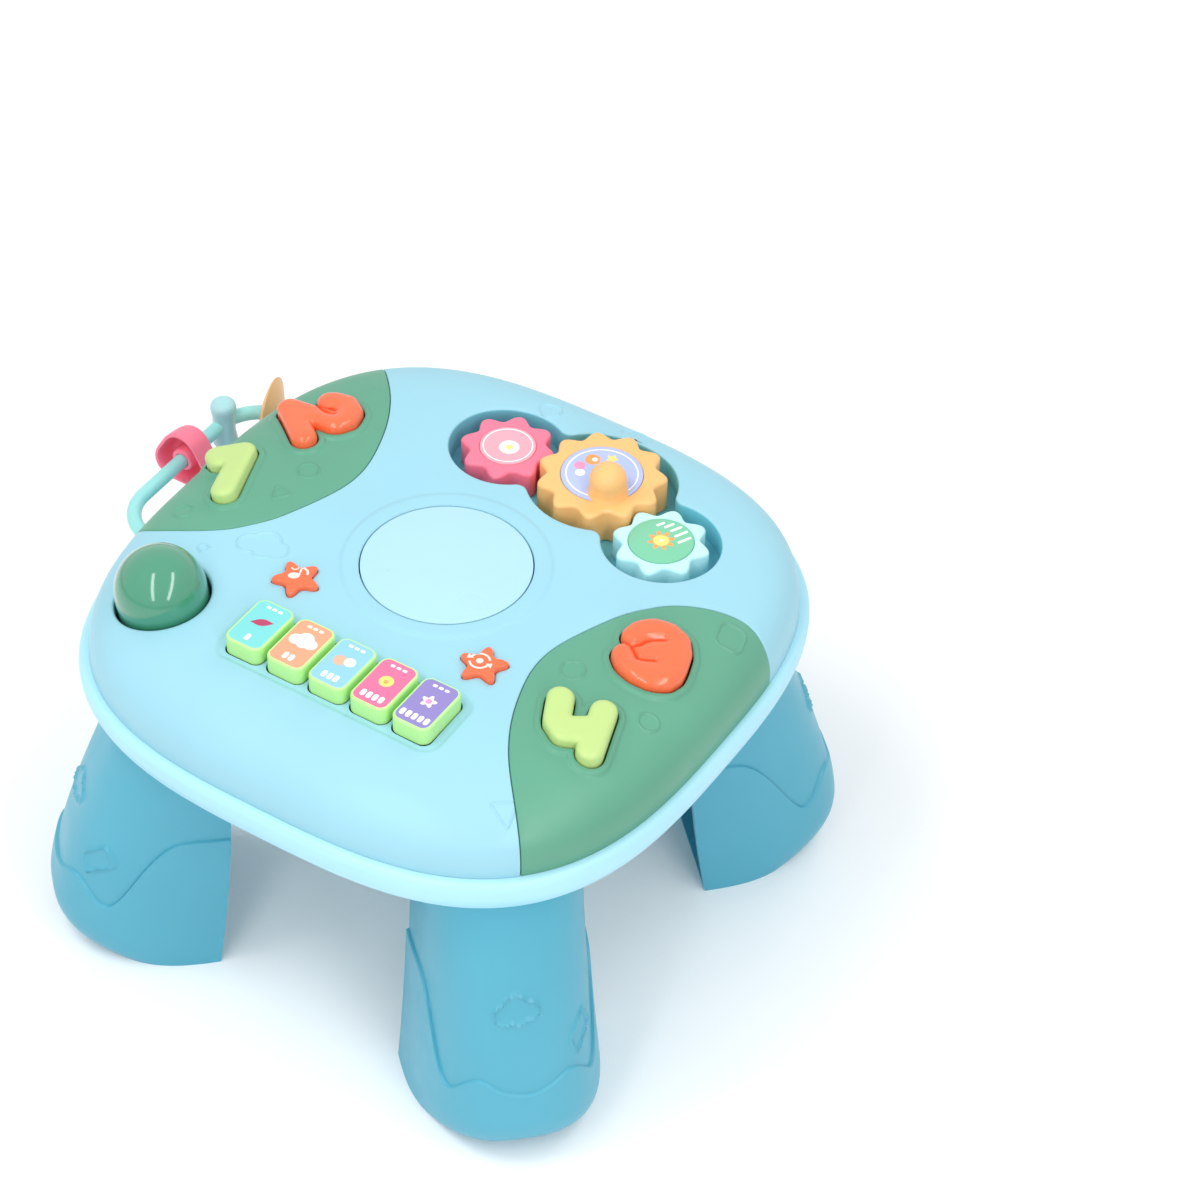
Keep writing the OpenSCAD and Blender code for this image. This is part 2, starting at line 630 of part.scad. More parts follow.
module key(k) {
    soft = 2.4;
    color(lime) translate([key_at(k), -key_y, 0]) {
        loft([
            at_z(round_rect(key_w, key_l, KEY_CORNER, 4), key_under),
            at_z(round_rect(key_w, key_l, KEY_CORNER, 4), key_top - soft),
            at_z(round_rect(key_w - 0.6 * soft, key_l - 0.6 * soft, KEY_CORNER - 0.3 * soft, 4),
                key_top - 0.35 * soft),
            at_z(round_rect(key_w - 2 * soft, key_l - 2 * soft, KEY_CORNER - soft, 4), key_top)
        ]);
        // flange that stops under the top, and the stem over the switch
        translate([0, 0, key_under - 1.4]) linear_extrude(1.6)
            polygon(round_rect(key_w, key_l + 2 * KEY_FLANGE, KEY_CORNER));
        translate([0, 0, key_under - KEY_SKIRT]) cylinder(r = KEY_STEM, h = KEY_SKIRT);
    }
}

module star_button(side) {
    top = part_z + dome_h + 2.6;
    under = part_z + dome_h - top_wall - 0.5;
    color(coral) translate([side * star_x, -star_y, 0]) rotate(side < 0 ? 0 : 180) {
        loft([
            at_z(star(star_r), under), at_z(star(star_r), top - 1.4),
            at_z(star(star_r - 0.7), top - 0.4), at_z(star(star_r - 2.4), top)
        ]);
        translate([0, 0, under - 1.4]) cylinder(r = star_r + 1.6, h = 1.6);
        translate([0, 0, star_stem_z]) cylinder(r = 4, h = under - star_stem_z);
    }
}

DOME_DEEP = 17;
DOME_POST = 21;
dome_hem = -DOME_DEEP + dome_travel + PAD_FLAT;
module dome_button() {
    // outer arc through the hem and the crown
    sag = dome_top + 3;
    big = (dome_r * dome_r + sag * sag) / (2 * sag);
    span = asin(min(1, dome_r / big));
    color(leaf_green) at_dome() rotate_extrude($fn = 64) polygon(concat(
        [for (k = [0 : 12]) let (a = span * k / 12) [big * sin(a), dome_top - big + big * cos(a)]],
        [[dome_r, -5], [dome_r - 2.4, -5], [dome_r - 3, -2]],
        [[8, dome_top - 6], [4, dome_top - 7], [4, dome_hem], [0, dome_hem]]
    ));
}

module light_lens() {
    sag = lens_proud - 0.8;
    big = (lens_r * lens_r + sag * sag) / (2 * sag);
    span = asin(lens_r / big);
    top = part_z + dome_h + lens_proud;
    color([0.8, 0.96, 1, 0.85]) rotate_extrude($fn = 96) polygon(concat(
        [for (k = [0 : 8]) let (a = span * k / 8) [big * sin(a), top - big + big * cos(a)]],
        [[lens_r, lens_bottom], [lens_r - 3, lens_bottom], [lens_r - 3, top - 4], [0, top - 3]]
    ));
}

// ---- Gears --------------------------------------------------------------------

TOOTH_SLACK = 0.9;
MIDDLE_TURN = 94;
// Each small gear shows a valley where the middle gear shows a tooth
function mate_turn(line) =
    let (phase = big_teeth * (line - MIDDLE_TURN))
    line + 180 + (180 + phase) / small_teeth;
GEAR_TURN = [mate_turn(LEFT_ANGLE), MIDDLE_TURN, mate_turn(RIGHT_ANGLE)];
GEAR_LIFT = [0, MIDDLE_LIFT, 0];
INSERT_R = [14.5, 21, 16.5];
INSERT_T = 1.4;
SCREW_HEAD_R = 5.6;
SCREW_HEAD_T = 2.2;
spindle_top = well_z + gear_t - 5.2;
KNOB_R = 6.8;
KNOB_OUT = 12.2;
KNOB_TURN = -55;

module gear(k) {
    top = gear_top + GEAR_LIFT[k];
    soft = 2.2;
    pitch = GEAR_PITCH[k] - TOOTH_SLACK / 2;
    translate([GEAR_AT[k][0], GEAR_AT[k][1], 0]) {
        difference() {
            // the inner rings keep the flat faces in even wedges
            loft([
                at_z(petals(spindle_d, GEAR_TEETH[k], 0, GEAR_TURN[k]), well_z + 0.6),
                at_z(petals(pitch, GEAR_TEETH[k], tooth_h, GEAR_TURN[k]), well_z + 0.6),
                at_z(petals(pitch, GEAR_TEETH[k], tooth_h, GEAR_TURN[k]), top - soft),
                at_z(petals(pitch - 0.7, GEAR_TEETH[k], tooth_h * 0.95, GEAR_TURN[k]), top - 0.3 * soft),
                at_z(petals(pitch - soft, GEAR_TEETH[k], tooth_h * 0.85, GEAR_TURN[k]), top),
                at_z(petals(spindle_d, GEAR_TEETH[k], 0, GEAR_TURN[k]), top)
            ]);
            translate([0, 0, well_z]) cylinder(d = spindle_d + 2 * run_gap, h = 40);
            translate([0, 0, spindle_top - 0.6]) cylinder(r = SCREW_HEAD_R + 1, h = 40);
            translate([0, 0, top - INSERT_T]) cylinder(r = INSERT_R[k] + EPS, h = OVER, $fn = 72);
            // lightening recess underneath
            translate([0, 0, well_z]) difference() {
                cylinder(r = GEAR_PITCH[k] - tooth_h - 3, h = gear_t - 8, $fn = 64);
                translate([0, 0, -1]) cylinder(r = spindle_d / 2 + 2.4, h = gear_t);
            }
        }
    }
}
module at_knob() {
    translate([GEAR_AT[1][0], GEAR_AT[1][1], gear_top + MIDDLE_LIFT])
        rotate(KNOB_TURN) translate([KNOB_OUT, 0, 0]) children();
}
module gear_insert(k) {
    top = gear_top + GEAR_LIFT[k];
    difference() {
        translate([GEAR_AT[k][0], GEAR_AT[k][1], top - INSERT_T])
            rotate_extrude($fn = 72) polygon([
                [0, 0], [INSERT_R[k], 0], [INSERT_R[k], INSERT_T - 0.3],
                [INSERT_R[k] - 0.8, INSERT_T + 0.3], [0, INSERT_T + 0.3]
            ]);
        if (k == 1) at_knob() cylinder(r = KNOB_R + 0.1, h = 20, center = true);
    }
}
// Finger knob: a post with a waist and a ball-like top
module knob() {
    at_knob() translate([0, 0, -INSERT_T - 0.5]) rotate_extrude($fn = 40) polygon(concat(
        [[0, 0], [KNOB_R, 0], [KNOB_R, 2.4], [KNOB_R - 0.7, knob_h * 0.35], [KNOB_R - 0.5, knob_h * 0.6]],
        [for (k = [0 : 6]) let (a = 90 * k / 6)
            [KNOB_R * cos(a), knob_h + INSERT_T + 0.5 - KNOB_R + KNOB_R * sin(a)]]
    ));
}

module gear_middle() {
    color(sand) union() {
        gear(1);
        knob();
    }
}

module gear_spindles() {
    color(steel) for (p = GEAR_AT) translate([p[0], p[1], 0]) difference() {
        union() {
            translate([0, 0, well_z - 2.4]) cylinder(d = spindle_d - 2, h = 5);
            translate([0, 0, well_z]) cylinder(d = spindle_d, h = spindle_top - well_z);
        }
        translate([0, 0, well_z - 3]) cylinder(d = screw_d, h = 30);
    }
}
module gear_screws() {
    color(steel) for (p = GEAR_AT) translate([p[0], p[1], spindle_top]) {
        translate([0, 0, -7]) cylinder(d = screw_d - 0.1, h = 7.5);
        difference() {
            cylinder(r = SCREW_HEAD_R, h = SCREW_HEAD_T);
            for (turn = [0, 90]) rotate(turn) translate([0, 0, SCREW_HEAD_T])
                cube([4, 0.8, 1.6], center = true);
        }
    }
}

// ---- Rail and beads -----------------------------------------------------------

function rail_roots() = [RAIL_MID_Y - rail_span / 2, RAIL_MID_Y + rail_span / 2];
// Distance of the base's wall from the middle line at the rail's height
function rail_wall_x(y) = pow(pow(top_half + rim_out - 1, plan_n) - pow(abs(y), plan_n), 1 / plan_n);
rail_straight = rail_span - 2 * rail_bend;

module rail_tube() {
    color(mint) {
        for (end = [-1, 1]) {
            y = RAIL_MID_Y + end * rail_span / 2;
            inner = -rail_wall_x(y) + RAIL_IN - 2;
            translate([rail_x + rail_bend, y, rail_z]) rotate([0, 90, 0])
                cylinder(d = rail_d, h = inner - rail_x - rail_bend, $fn = 40);
            translate([rail_x + rail_bend, RAIL_MID_Y + end * rail_straight / 2, rail_z])
                rotate(end > 0 ? 90 : 180) rotate_extrude(angle = 90, $fn = 40)
                    translate([rail_bend, 0]) circle(d = rail_d);
        }
        translate([rail_x, RAIL_MID_Y, rail_z]) rotate([90, 0, 0])
            cylinder(d = rail_d, h = rail_straight, center = true, $fn = 40);
    }
}

// Children stand at angle a of the rear bend, with their Z along the tube
module at_bend(a) {
    translate([rail_x + rail_bend, RAIL_MID_Y + rail_straight / 2, rail_z])
        rotate(a) translate([rail_bend, 0, 0]) rotate([-90, 0, 0]) children();
}
BELL_Y = 40;
BELL_L = 17;
BELL_R = 16.5;
BELL_LOBE = 1.7;
SPOOL_A = 172;
DISC_A = 108;
SPOOL_LONG = 35;
SPOOL_WAIST = 6.4;
DISC_R = 20;

// Three-lobed bell, open to the front, with a hub on the rail
module bead_bell() {
    color(rose) translate([rail_x, BELL_Y + BELL_L / 2, rail_z]) rotate([90, 0, 0]) difference() {
        union() {
            difference() {
                loft([for (s = [[0, 0.45], [1.5, 0.7], [5, 0.9], [BELL_L, 1]])
                    at_z(petals(BELL_R * s[1], 3, BELL_LOBE * s[1], 90, 12), s[0])]);
                loft([for (s = [[2.4, 0.5], [5.6, 0.74], [BELL_L + 1, 0.86]])
                    at_z(petals(BELL_R * s[1], 3, BELL_LOBE * s[1], 90, 12), s[0])]);
            }
            cylinder(d = rail_d + 5, h = BELL_L - 1.5);
        }
        translate([0, 0, -1]) cylinder(d = rail_d + 0.6, h = BELL_L + 2);
    }
}
// Bone-shaped spool, pierced crosswise
module bead_spool() {
    color(pale) at_bend(SPOOL_A) difference() {
        rotate([90, 30, 0]) rotate_extrude($fn = 40) polygon([
            [0, -SPOOL_LONG / 2], [4, -SPOOL_LONG / 2 + 0.2], [7.4, -SPOOL_LONG / 2 + 2.6],
            [8.4, -SPOOL_LONG / 2 + 6], [7.6, -SPOOL_WAIST], [7.6, SPOOL_WAIST],
            [8.4, SPOOL_LONG / 2 - 6], [7.4, SPOOL_LONG / 2 - 2.6],
            [4, SPOOL_LONG / 2 - 0.2], [0, SPOOL_LONG / 2]
        ]);
        cylinder(d = rail_d + 3, h = 2 * OVER, center = true, $fn = 36);
    }
}
// Lens-shaped disc
module bead_disc() {
    half = 5;
    big = (DISC_R * DISC_R + half * half) / (2 * half);
    color(sand) at_bend(DISC_A) difference() {
        rotate_extrude($fn = 56) polygon(concat(
            [for (k = [0 : 7]) let (a = asin(DISC_R / big) * k / 8) [big * sin(a), half - big + big * cos(a)]],
            [[DISC_R - 0.3, 0.5], [DISC_R - 0.3, -0.5]],
            [for (k = [7 : -1 : 0]) let (a = asin(DISC_R / big) * k / 8) [big * sin(a), big - half - big * cos(a)]]
        ));
        cylinder(d = rail_d + 1.6, h = 2 * OVER, center = true, $fn = 36);
    }
}

// ---- Boards, pads and electrics -----------------------------------------------

KEY_BOARD_POSTS = [[-64, -92.3], [68, -92.3]];
STAR_BOARD_POSTS = [[-74, -50.5], [74, -50.5]];
LENS_POST_OUT = 50;
KEY_BOARD_L = 22;
SPEAKER_FLANGE_Z = 4;
SPEAKER_SCREW_OUT = 7;
SPEAKER_WASHER_R = 9;
main_z = floor_in + BAY_H + BAY_WALL + 3;
MAIN_POSTS = [[-52, 24], [52, 24], [-52, 82], [52, 82]];
MAIN_SIZE = [112, 66];
HOUSING = [24, 12, 9];
SLIDER_W = 7;
SLIDER_L = 5;
door_w = BAY[0] + 2 * DOOR_LIP;
door_l = BAY[1] + 2 * DOOR_LIP + 12;

// Rubber switch pad, tapered, under a button with the given travel
module pad(r, travel) {
    cylinder(r1 = r, r2 = 0.68 * r, h = travel + PAD_FLAT - PAD_GAP, $fn = 24);
}
module key_switch_board() {
    color(board_green) translate([KEY_X, -key_y, board_z - BOARD_T]) linear_extrude(BOARD_T)
        square([5 * key_pitch + 20, KEY_BOARD_L], center = true);
}
module key_pads() {
    color(rubber_grey) for (k = [0 : 4]) translate([key_at(k), -key_y, board_z]) pad(5, key_travel);
}
module number_switch_boards() {
    color(board_green) for (k = [0 : 3]) at_number(k)
        translate([0, 0, number_board - BOARD_T]) linear_extrude(BOARD_T)
            square([2 * (NUMBER_POST + POST_R), 14], center = true);
}
module number_pads() {
    color(rubber_grey) for (k = [0 : 3]) at_number(k)
        translate([0, 0, number_board]) pad(5, number_travel);
}
module star_switch_boards() {
    color(board_green) for (side = [-1, 1])
        translate([side * (star_x + 6), -star_y, board_z - BOARD_T]) linear_extrude(BOARD_T)
            square([34, 14], center = true);
}
module star_pads() {
    color(rubber_grey) for (side = [-1, 1]) translate([side * star_x, -star_y, board_z])
        pad(5, star_travel);
}
module dome_switch_board() {
    color(board_green) at_dome() translate([0, 0, -DOME_DEEP - BOARD_T]) linear_extrude(BOARD_T)
        square([2 * (DOME_POST + POST_R), 16], center = true);
}
module dome_pad() {
    color(rubber_grey) at_dome() translate([0, 0, -DOME_DEEP]) pad(6, dome_travel);
}
module led_board() {
    color(board_green) translate([0, 0, led_z - BOARD_T]) {
        cylinder(r = LENS_POST_OUT + 4, h = BOARD_T, $fn = 72);
        color([1, 1, 0.92]) for (k = [0 : 5]) rotate(k * 60) translate([18, 0, BOARD_T - EPS])
            cylinder(r = 2.5, h = 3 + EPS, $fn = 20);
    }
}
module lens_pads() {
    color(rubber_grey) for (a = [90, 210, 330]) rotate(a) translate([lens_r - 1.5, 0, led_z])
        pad(2, lens_travel);
}
// Chips and connector on the main board: middle, size and height; then its capacitor
CHIPS = [[-20, 6, 16, 12, 1.6], [38, 10, 8, 12, 6]];
CAPACITOR = [22, -8, 8, 8];
module circuit_board() {
    color(board_green) translate([0, (MAIN_POSTS[0][1] + MAIN_POSTS[2][1]) / 2, main_z]) {
        linear_extrude(BOARD_T) square(MAIN_SIZE, center = true);
        color(black) for (chip = CHIPS) translate([chip[0], chip[1], BOARD_T - EPS])
            linear_extrude(chip[4]) square([chip[2], chip[3]], center = true);
        translate([CAPACITOR[0], CAPACITOR[1], BOARD_T - EPS]) color(black)
            cylinder(d = CAPACITOR[2], h = CAPACITOR[3], $fn = 24);
    }
}
module speaker_posts(r, z0, z1) {
    for (k = [0 : 3]) translate([SPEAKER_AT[0], SPEAKER_AT[1], z0]) rotate(45 + 90 * k)
        translate([SPEAKER_R + SPEAKER_SCREW_OUT, 0, 0]) cylinder(r = r, h = z1 - z0);
}
module speaker() {
    color(black) translate([SPEAKER_AT[0], SPEAKER_AT[1], floor_in]) {
        rotate_extrude($fn = 48) polygon([
            [0, 4], [8, 3], [SPEAKER_R - 4, 0.6], [SPEAKER_R - 3.5, 0], [SPEAKER_R, 0],
            [SPEAKER_R, SPEAKER_FLANGE_Z + 0.8], [SPEAKER_R - 3, SPEAKER_FLANGE_Z + 1.6], [14, 10],
            [12, 10], [12, SPEAKER_H], [0, SPEAKER_H]
        ]);
    }
}
// Four screws with broad heads that hold the speaker's edge down on its posts
module speaker_screws() {
    color(steel) for (k = [0 : 3]) translate([SPEAKER_AT[0], SPEAKER_AT[1], floor_in + SPEAKER_FLANGE_Z])
        rotate(45 + 90 * k) translate([SPEAKER_R + SPEAKER_SCREW_OUT, 0, 0]) {
            translate([0, 0, -3.6]) cylinder(d = screw_d - 0.3, h = 5);
            translate([0, 0, 1.3]) cylinder(r = SPEAKER_WASHER_R, h = 1);
            cylinder(r = screw_d, h = 3);
        }
}
module switch_housing() {
    color(black) translate([SWITCH_AT[0], SWITCH_AT[1], floor_in]) difference() {
        linear_extrude(HOUSING[2]) square([HOUSING[0], HOUSING[1]], center = true);
        translate([0, 0, -1]) linear_extrude(5)
            square([SLIDER_W + SWITCH_TRAVEL + 1.6, SLIDER_L + 1.2], center = true);
    }
}
module switch_slider() {
    color(rubber_grey) translate([SWITCH_AT[0] - SWITCH_TRAVEL / 2, SWITCH_AT[1], base_z - 1.2]) {
        linear_extrude(base_wall + 1.2 + 3.4) square([SLIDER_W, SLIDER_L], center = true);
    }
}
module battery_door() {
    color(pale) translate([BAY_AT[0], BAY_AT[1], base_z]) difference() {
        linear_extrude(DOOR_T) polygon(round_rect(door_w, door_l, 4));
        translate([0, -BAY[1] / 2 - BAY_WALL - 3.4, -1]) cylinder(d = screw_d + 0.6, h = 5);
        translate([0, -BAY[1] / 2 - BAY_WALL - 3.4, -1]) cylinder(d = 2 * screw_d + 0.6, h = 2);
        for (k = [-2 : 2]) translate([k * 6, BAY[1] / 2 - 2, -0.1]) linear_extrude(0.7)
            square([2, 14], center = true);
    }
}
module battery_door_screw() {
    color(steel) translate([BAY_AT[0], BAY_AT[1] - BAY[1] / 2 - BAY_WALL - 3.4, base_z]) {
        translate([0, 0, 1]) cylinder(d = screw_d - 0.5, h = 6);
        translate([0, 0, 0]) difference() {
            cylinder(d = 2 * screw_d, h = 1);
            for (turn = [0, 90]) rotate(turn) cube([3.4, 0.7, 0.8], center = true);
        }
    }
}
CELL_D = 14.3;
CELL_L = 50;
module batteries() {
    color(sand) for (k = [-1 : 1]) translate([BAY_AT[0] - CELL_L / 2, BAY_AT[1] + k * 15.2, floor_in + 8])
        rotate([0, 90, 0]) {
            cylinder(d = CELL_D, h = CELL_L - 1.2, $fn = 40);
            translate([0, 0, CELL_L - 1.3]) cylinder(d = 5.4, h = 1.3, $fn = 24);
        }
}
module battery_contacts() {
    color(steel) for (side = [-1, 1], k = [-1 : 1])
        translate([BAY_AT[0] + side * (BAY[0] / 2 - 0.35), BAY_AT[1] + k * 15.2, floor_in + 8]) {
            cube([0.5, 11, 12], center = true);
            translate([-side * 0.2, 0, 0]) rotate([0, -side * 90, 0])
                cylinder(d1 = 9, d2 = 5, h = (BAY[0] - CELL_L) / 2 - 0.6, $fn = 24);
        }
}
module case_screws() {
    color(steel) for (p = SCREW_AT) translate([p[0], p[1], post_split - 8]) {
        cylinder(d = screw_d - 0.1, h = 18);
        translate([0, 0, -2]) difference() {
            cylinder(d = 2 * screw_d, h = 2);
            for (turn = [0, 90]) rotate(turn) cube([3.6, 0.8, 1.4], center = true);
        }
    }
}

// ---- Nodes --------------------------------------------------------------------

// The origin lies under the middle of the whole length, from the bell to the right-hand side
bell_reach = BELL_R + BELL_LOBE / 2 - rail_x;
foot_reach = max([for (i = [0 : LEG_STEPS])
    leg_point(leg_angle(i), FOOT_BULGE_Z, BOOT_STEP) * [1, 1, 0] / sqrt(2)]);
right_reach = max(foot_reach, top_half + rim_out);
middle_x = (bell_reach - right_reach) / 2;
module place() {
    translate([middle_x, 0, 0]) children();
}

place() top_shell();
place() base_shell();
place() color(leaf_green) leaf_panel(0);  // left_leaf_panel
place() color(leaf_green) leaf_panel(2);  // right_leaf_panel
place() color(leg_teal) rotate(LEG_ANGLES[0]) leg();  // leg_front_left
place() color(leg_teal) rotate(LEG_ANGLES[1]) leg();  // leg_front_right
place() color(leg_teal) rotate(LEG_ANGLES[2]) leg();  // leg_rear_left
place() color(leg_teal) rotate(LEG_ANGLES[3]) leg();  // leg_rear_right
place() key(0);  // key_1
place() key(1);  // key_2
place() key(2);  // key_3
place() key(3);  // key_4
place() key(4);  // key_5
place() color(pale_green) number_button(0);  // number_1
place() color(coral) number_button(1);  // number_2
place() color(coral) number_button(2);  // number_3
place() color(pale_green) number_button(3);  // number_4
place() star_button(-1);  // star_left
place() star_button(1);  // star_right
place() dome_button();
place() light_lens();
place() color(rose) gear(0);  // gear_left
place() gear_middle();
place() color(mint) gear(2);  // gear_right
place() color(pale) gear_insert(0);  // gear_left_insert
place() color(pale) gear_insert(1);  // gear_middle_insert
place() color(leaf_green) gear_insert(2);  // gear_right_insert
place() gear_spindles();
place() gear_screws();
place() rail_tube();
place() bead_bell();
place() bead_spool();
place() bead_disc();
place() key_switch_board();
place() key_pads();
place() number_switch_boards();
place() number_pads();
place() star_switch_boards();
place() star_pads();
place() dome_switch_board();
place() dome_pad();
place() led_board();
place() lens_pads();
place() circuit_board();
place() speaker();
place() speaker_screws();
place() switch_housing();
place() switch_slider();
place() battery_door();
place() battery_door_screw();
place() batteries();
place() battery_contacts();
place() case_screws();
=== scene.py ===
"""Musical activity table for a baby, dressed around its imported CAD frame.

Shapes are worked out in millimetres about the middle of the table and put into metres by solid().
"""

import bpy
import numpy as np
from mathutils import Matrix, Vector
from mathutils.geometry import delaunay_2d_cdt


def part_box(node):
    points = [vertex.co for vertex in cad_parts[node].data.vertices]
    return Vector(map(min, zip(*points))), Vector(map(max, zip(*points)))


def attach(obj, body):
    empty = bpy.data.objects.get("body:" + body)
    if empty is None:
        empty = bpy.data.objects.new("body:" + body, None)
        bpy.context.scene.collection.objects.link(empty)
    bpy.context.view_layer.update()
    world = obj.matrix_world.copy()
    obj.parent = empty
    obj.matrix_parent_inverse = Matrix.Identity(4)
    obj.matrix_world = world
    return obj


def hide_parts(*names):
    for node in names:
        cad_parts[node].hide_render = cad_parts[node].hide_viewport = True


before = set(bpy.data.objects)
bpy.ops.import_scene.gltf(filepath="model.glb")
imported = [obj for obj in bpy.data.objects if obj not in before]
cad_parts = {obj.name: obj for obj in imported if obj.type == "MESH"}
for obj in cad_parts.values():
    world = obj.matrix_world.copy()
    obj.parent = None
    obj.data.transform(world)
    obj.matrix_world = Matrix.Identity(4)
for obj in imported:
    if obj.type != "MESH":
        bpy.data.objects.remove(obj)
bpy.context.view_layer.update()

MM = 0.001
RAD = np.pi / 180


def cad_box(node):
    """Lowest and highest corner of a CAD node, in millimetres."""
    low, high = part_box(node)
    return np.array(low) / MM, np.array(high) / MM


# ---- Sizes -------------------------------------------------------------------

LENS_BOX, TOP_BOX = cad_box("light_lens"), cad_box("top_shell")
# The middle of the table is the middle of its lens
MIDDLE = np.array([(LENS_BOX[0] + LENS_BOX[1])[0] / 2, 0.0, 0.0])
PART_Z, CROWN_Z = TOP_BOX[0][2], TOP_BOX[1][2]
TOP_HALF = (TOP_BOX[1] - TOP_BOX[0])[1] / 2
BASE_Z = cad_box("base_shell")[0][2]
# Exponents of the rounded-square plan, of the crown's flatness and of its edge
PLAN_N, DOME_FLAT, DOME_EDGE = 3, 6.5, 2.8
VIEW_AZIMUTH, VIEW_ELEVATION, VIEW_DISTANCE = 33.914, 43.351, 1.9379
LEAF_GAP, BUTTON_GAP = 0.3, 0.6
LEAF_LIP, LEAF_WALL = 0.8, 3.2


# ---- Curves and outlines -----------------------------------------------------

def smooth_path(points, steps):
    """Catmull-Rom curve through the points, with so many steps between two of them."""
    p = np.array(points, float)
    padded = np.vstack([p[:1], p, p[-1:]])
    t = np.arange(steps)[:, None] / steps
    a, b, c, d = (padded[i:len(padded) - 3 + i, None, :] for i in range(4))
    curve = 0.5 * (2 * b + (c - a) * t + (2 * a - 5 * b + 4 * c - d) * t ** 2
                   + (3 * b - a - 3 * c + d) * t ** 3)
    return np.vstack([curve.reshape(-1, p.shape[1]), p[-1:]])


def resample(path, gap, closed=True):
    """The same path with its points an even distance apart along it."""
    p = np.vstack([path, path[:1]]) if closed else np.asarray(path, float)
    reach = np.concatenate([[0], np.cumsum(np.linalg.norm(np.diff(p, axis=0), axis=1))])
    count = max(8, int(round(reach[-1] / gap)))
    at = np.linspace(0, reach[-1], count, endpoint=False) if closed else np.linspace(0, reach[-1], count)
    return np.column_stack([np.interp(at, reach, p[:, k]) for k in range(p.shape[1])])


def left_normals(path, closed=True):
    """Unit normals to the left of a plane path."""
    if closed:
        along = np.roll(path, -1, 0) - np.roll(path, 1, 0)
    else:
        along = np.gradient(path, axis=0)
    along = along / np.linalg.norm(along, axis=1, keepdims=True)
    return np.column_stack([-along[:, 1], along[:, 0]])


def soften(path, rounds):
    """Rounds the corners of a closed path: each point moves towards the middle of its neighbours."""
    p = path
    for _ in range(rounds):
        p = 0.5 * p + 0.25 * (np.roll(p, 1, 0) + np.roll(p, -1, 0))
    return p


def round_rect(width, length, radius, steps=8):
    """Outline of a rectangle whose corners are quarter circles, anticlockwise."""
    turn = np.linspace(0, 90, steps + 1) * RAD
    corner = radius * np.column_stack([np.cos(turn), np.sin(turn)])
    spin = [corner @ np.array([[c, s], [-s, c]]) for c, s in ((1, 0), (0, 1), (-1, 0), (0, -1))]
    middle = [(1, 1), (-1, 1), (-1, -1), (1, -1)]
    return np.vstack([spin[k] + np.array(middle[k]) * [width / 2 - radius, length / 2 - radius]
                      for k in range(4)])


def circle(radius, gap=0.9, centre=(0, 0)):
    """Outline of a circle, anticlockwise, with points about a gap apart."""
    turn = np.linspace(0, 2 * np.pi, max(12, int(2 * np.pi * radius / gap)), endpoint=False)
    return np.array(centre) + radius * np.column_stack([np.cos(turn), np.sin(turn)])


def wavy(radius, waves, height, turn, second=0.0, count=360):
    """Circle with a cosine wave on its radius; second adds a share of twice as many waves."""
    a = np.linspace(0, 2 * np.pi, count, endpoint=False)
    phase = waves * (a - turn * RAD)
    r = radius + height * np.cos(phase) + second * np.cos(2 * phase)
    return np.column_stack([r * np.cos(a), r * np.sin(a)])


def star(radius, turn=0.0, count=180):
    """Five soft tips: radius times 0.765 + 0.2 cos 5a + 0.035 cos 10a."""
    return wavy(0.765 * radius, 5, 0.2 * radius, turn, 0.035 * radius, count)


def segment_distance(points, path):
    """Distance from each point to a polyline."""
    a, b = path[:-1], path[1:]
    ab = b - a
    ap = points[:, None, :] - a[None]
    t = np.clip((ap * ab).sum(-1) / np.maximum((ab * ab).sum(-1), 1e-12), 0, 1)
    return np.sqrt(((ap - t[..., None] * ab) ** 2).sum(-1)).min(1)


def closed_distance(points, outline):
    """Distance from each point to a closed outline."""
    return segment_distance(points, np.vstack([outline, outline[:1]]))


def inside(points, outline):
    """Whether each point lies inside a closed outline: an odd number of its edges cross to the right."""
    a, b = outline, np.roll(outline, -1, 0)
    x, y = points[:, 0, None], points[:, 1, None]
    above = (a[None, :, 1] > y) != (b[None, :, 1] > y)
    rise = np.where(np.abs(b[:, 1] - a[:, 1]) < 1e-12, 1e-12, b[:, 1] - a[:, 1])
    cross = a[None, :, 0] + (y - a[None, :, 1]) * ((b - a)[None, :, 0] / rise[None])
    return (above & (x < cross)).sum(1) % 2 == 1


def signed_distance(points, outline):
    """Distance to a closed outline, below zero inside it."""
    return np.where(inside(points, outline), -1, 1) * closed_distance(points, outline)


def step(x, low, high):
    """Rises smoothly from 0 at low to 1 at high."""
    t = np.clip((x - low) / (high - low), 0, 1)
    return t * t * (3 - 2 * t)


def band(path, width, caps=8):
    """Outline of a band of that width along a path, with round ends."""
    normal = left_normals(path, closed=False)

    def cap(point, side):
        """Half circle round an end of the path."""
        turn = np.linspace(0, np.pi, caps + 1)[1:-1, None]
        ahead = np.array([side[1], -side[0]])
        return point + width / 2 * (-side * np.cos(turn) + ahead * np.sin(turn))

    return np.vstack([
        path - normal * width / 2, cap(path[-1], normal[-1]),
        (path + normal * width / 2)[::-1], cap(path[0], -normal[0]),
    ])


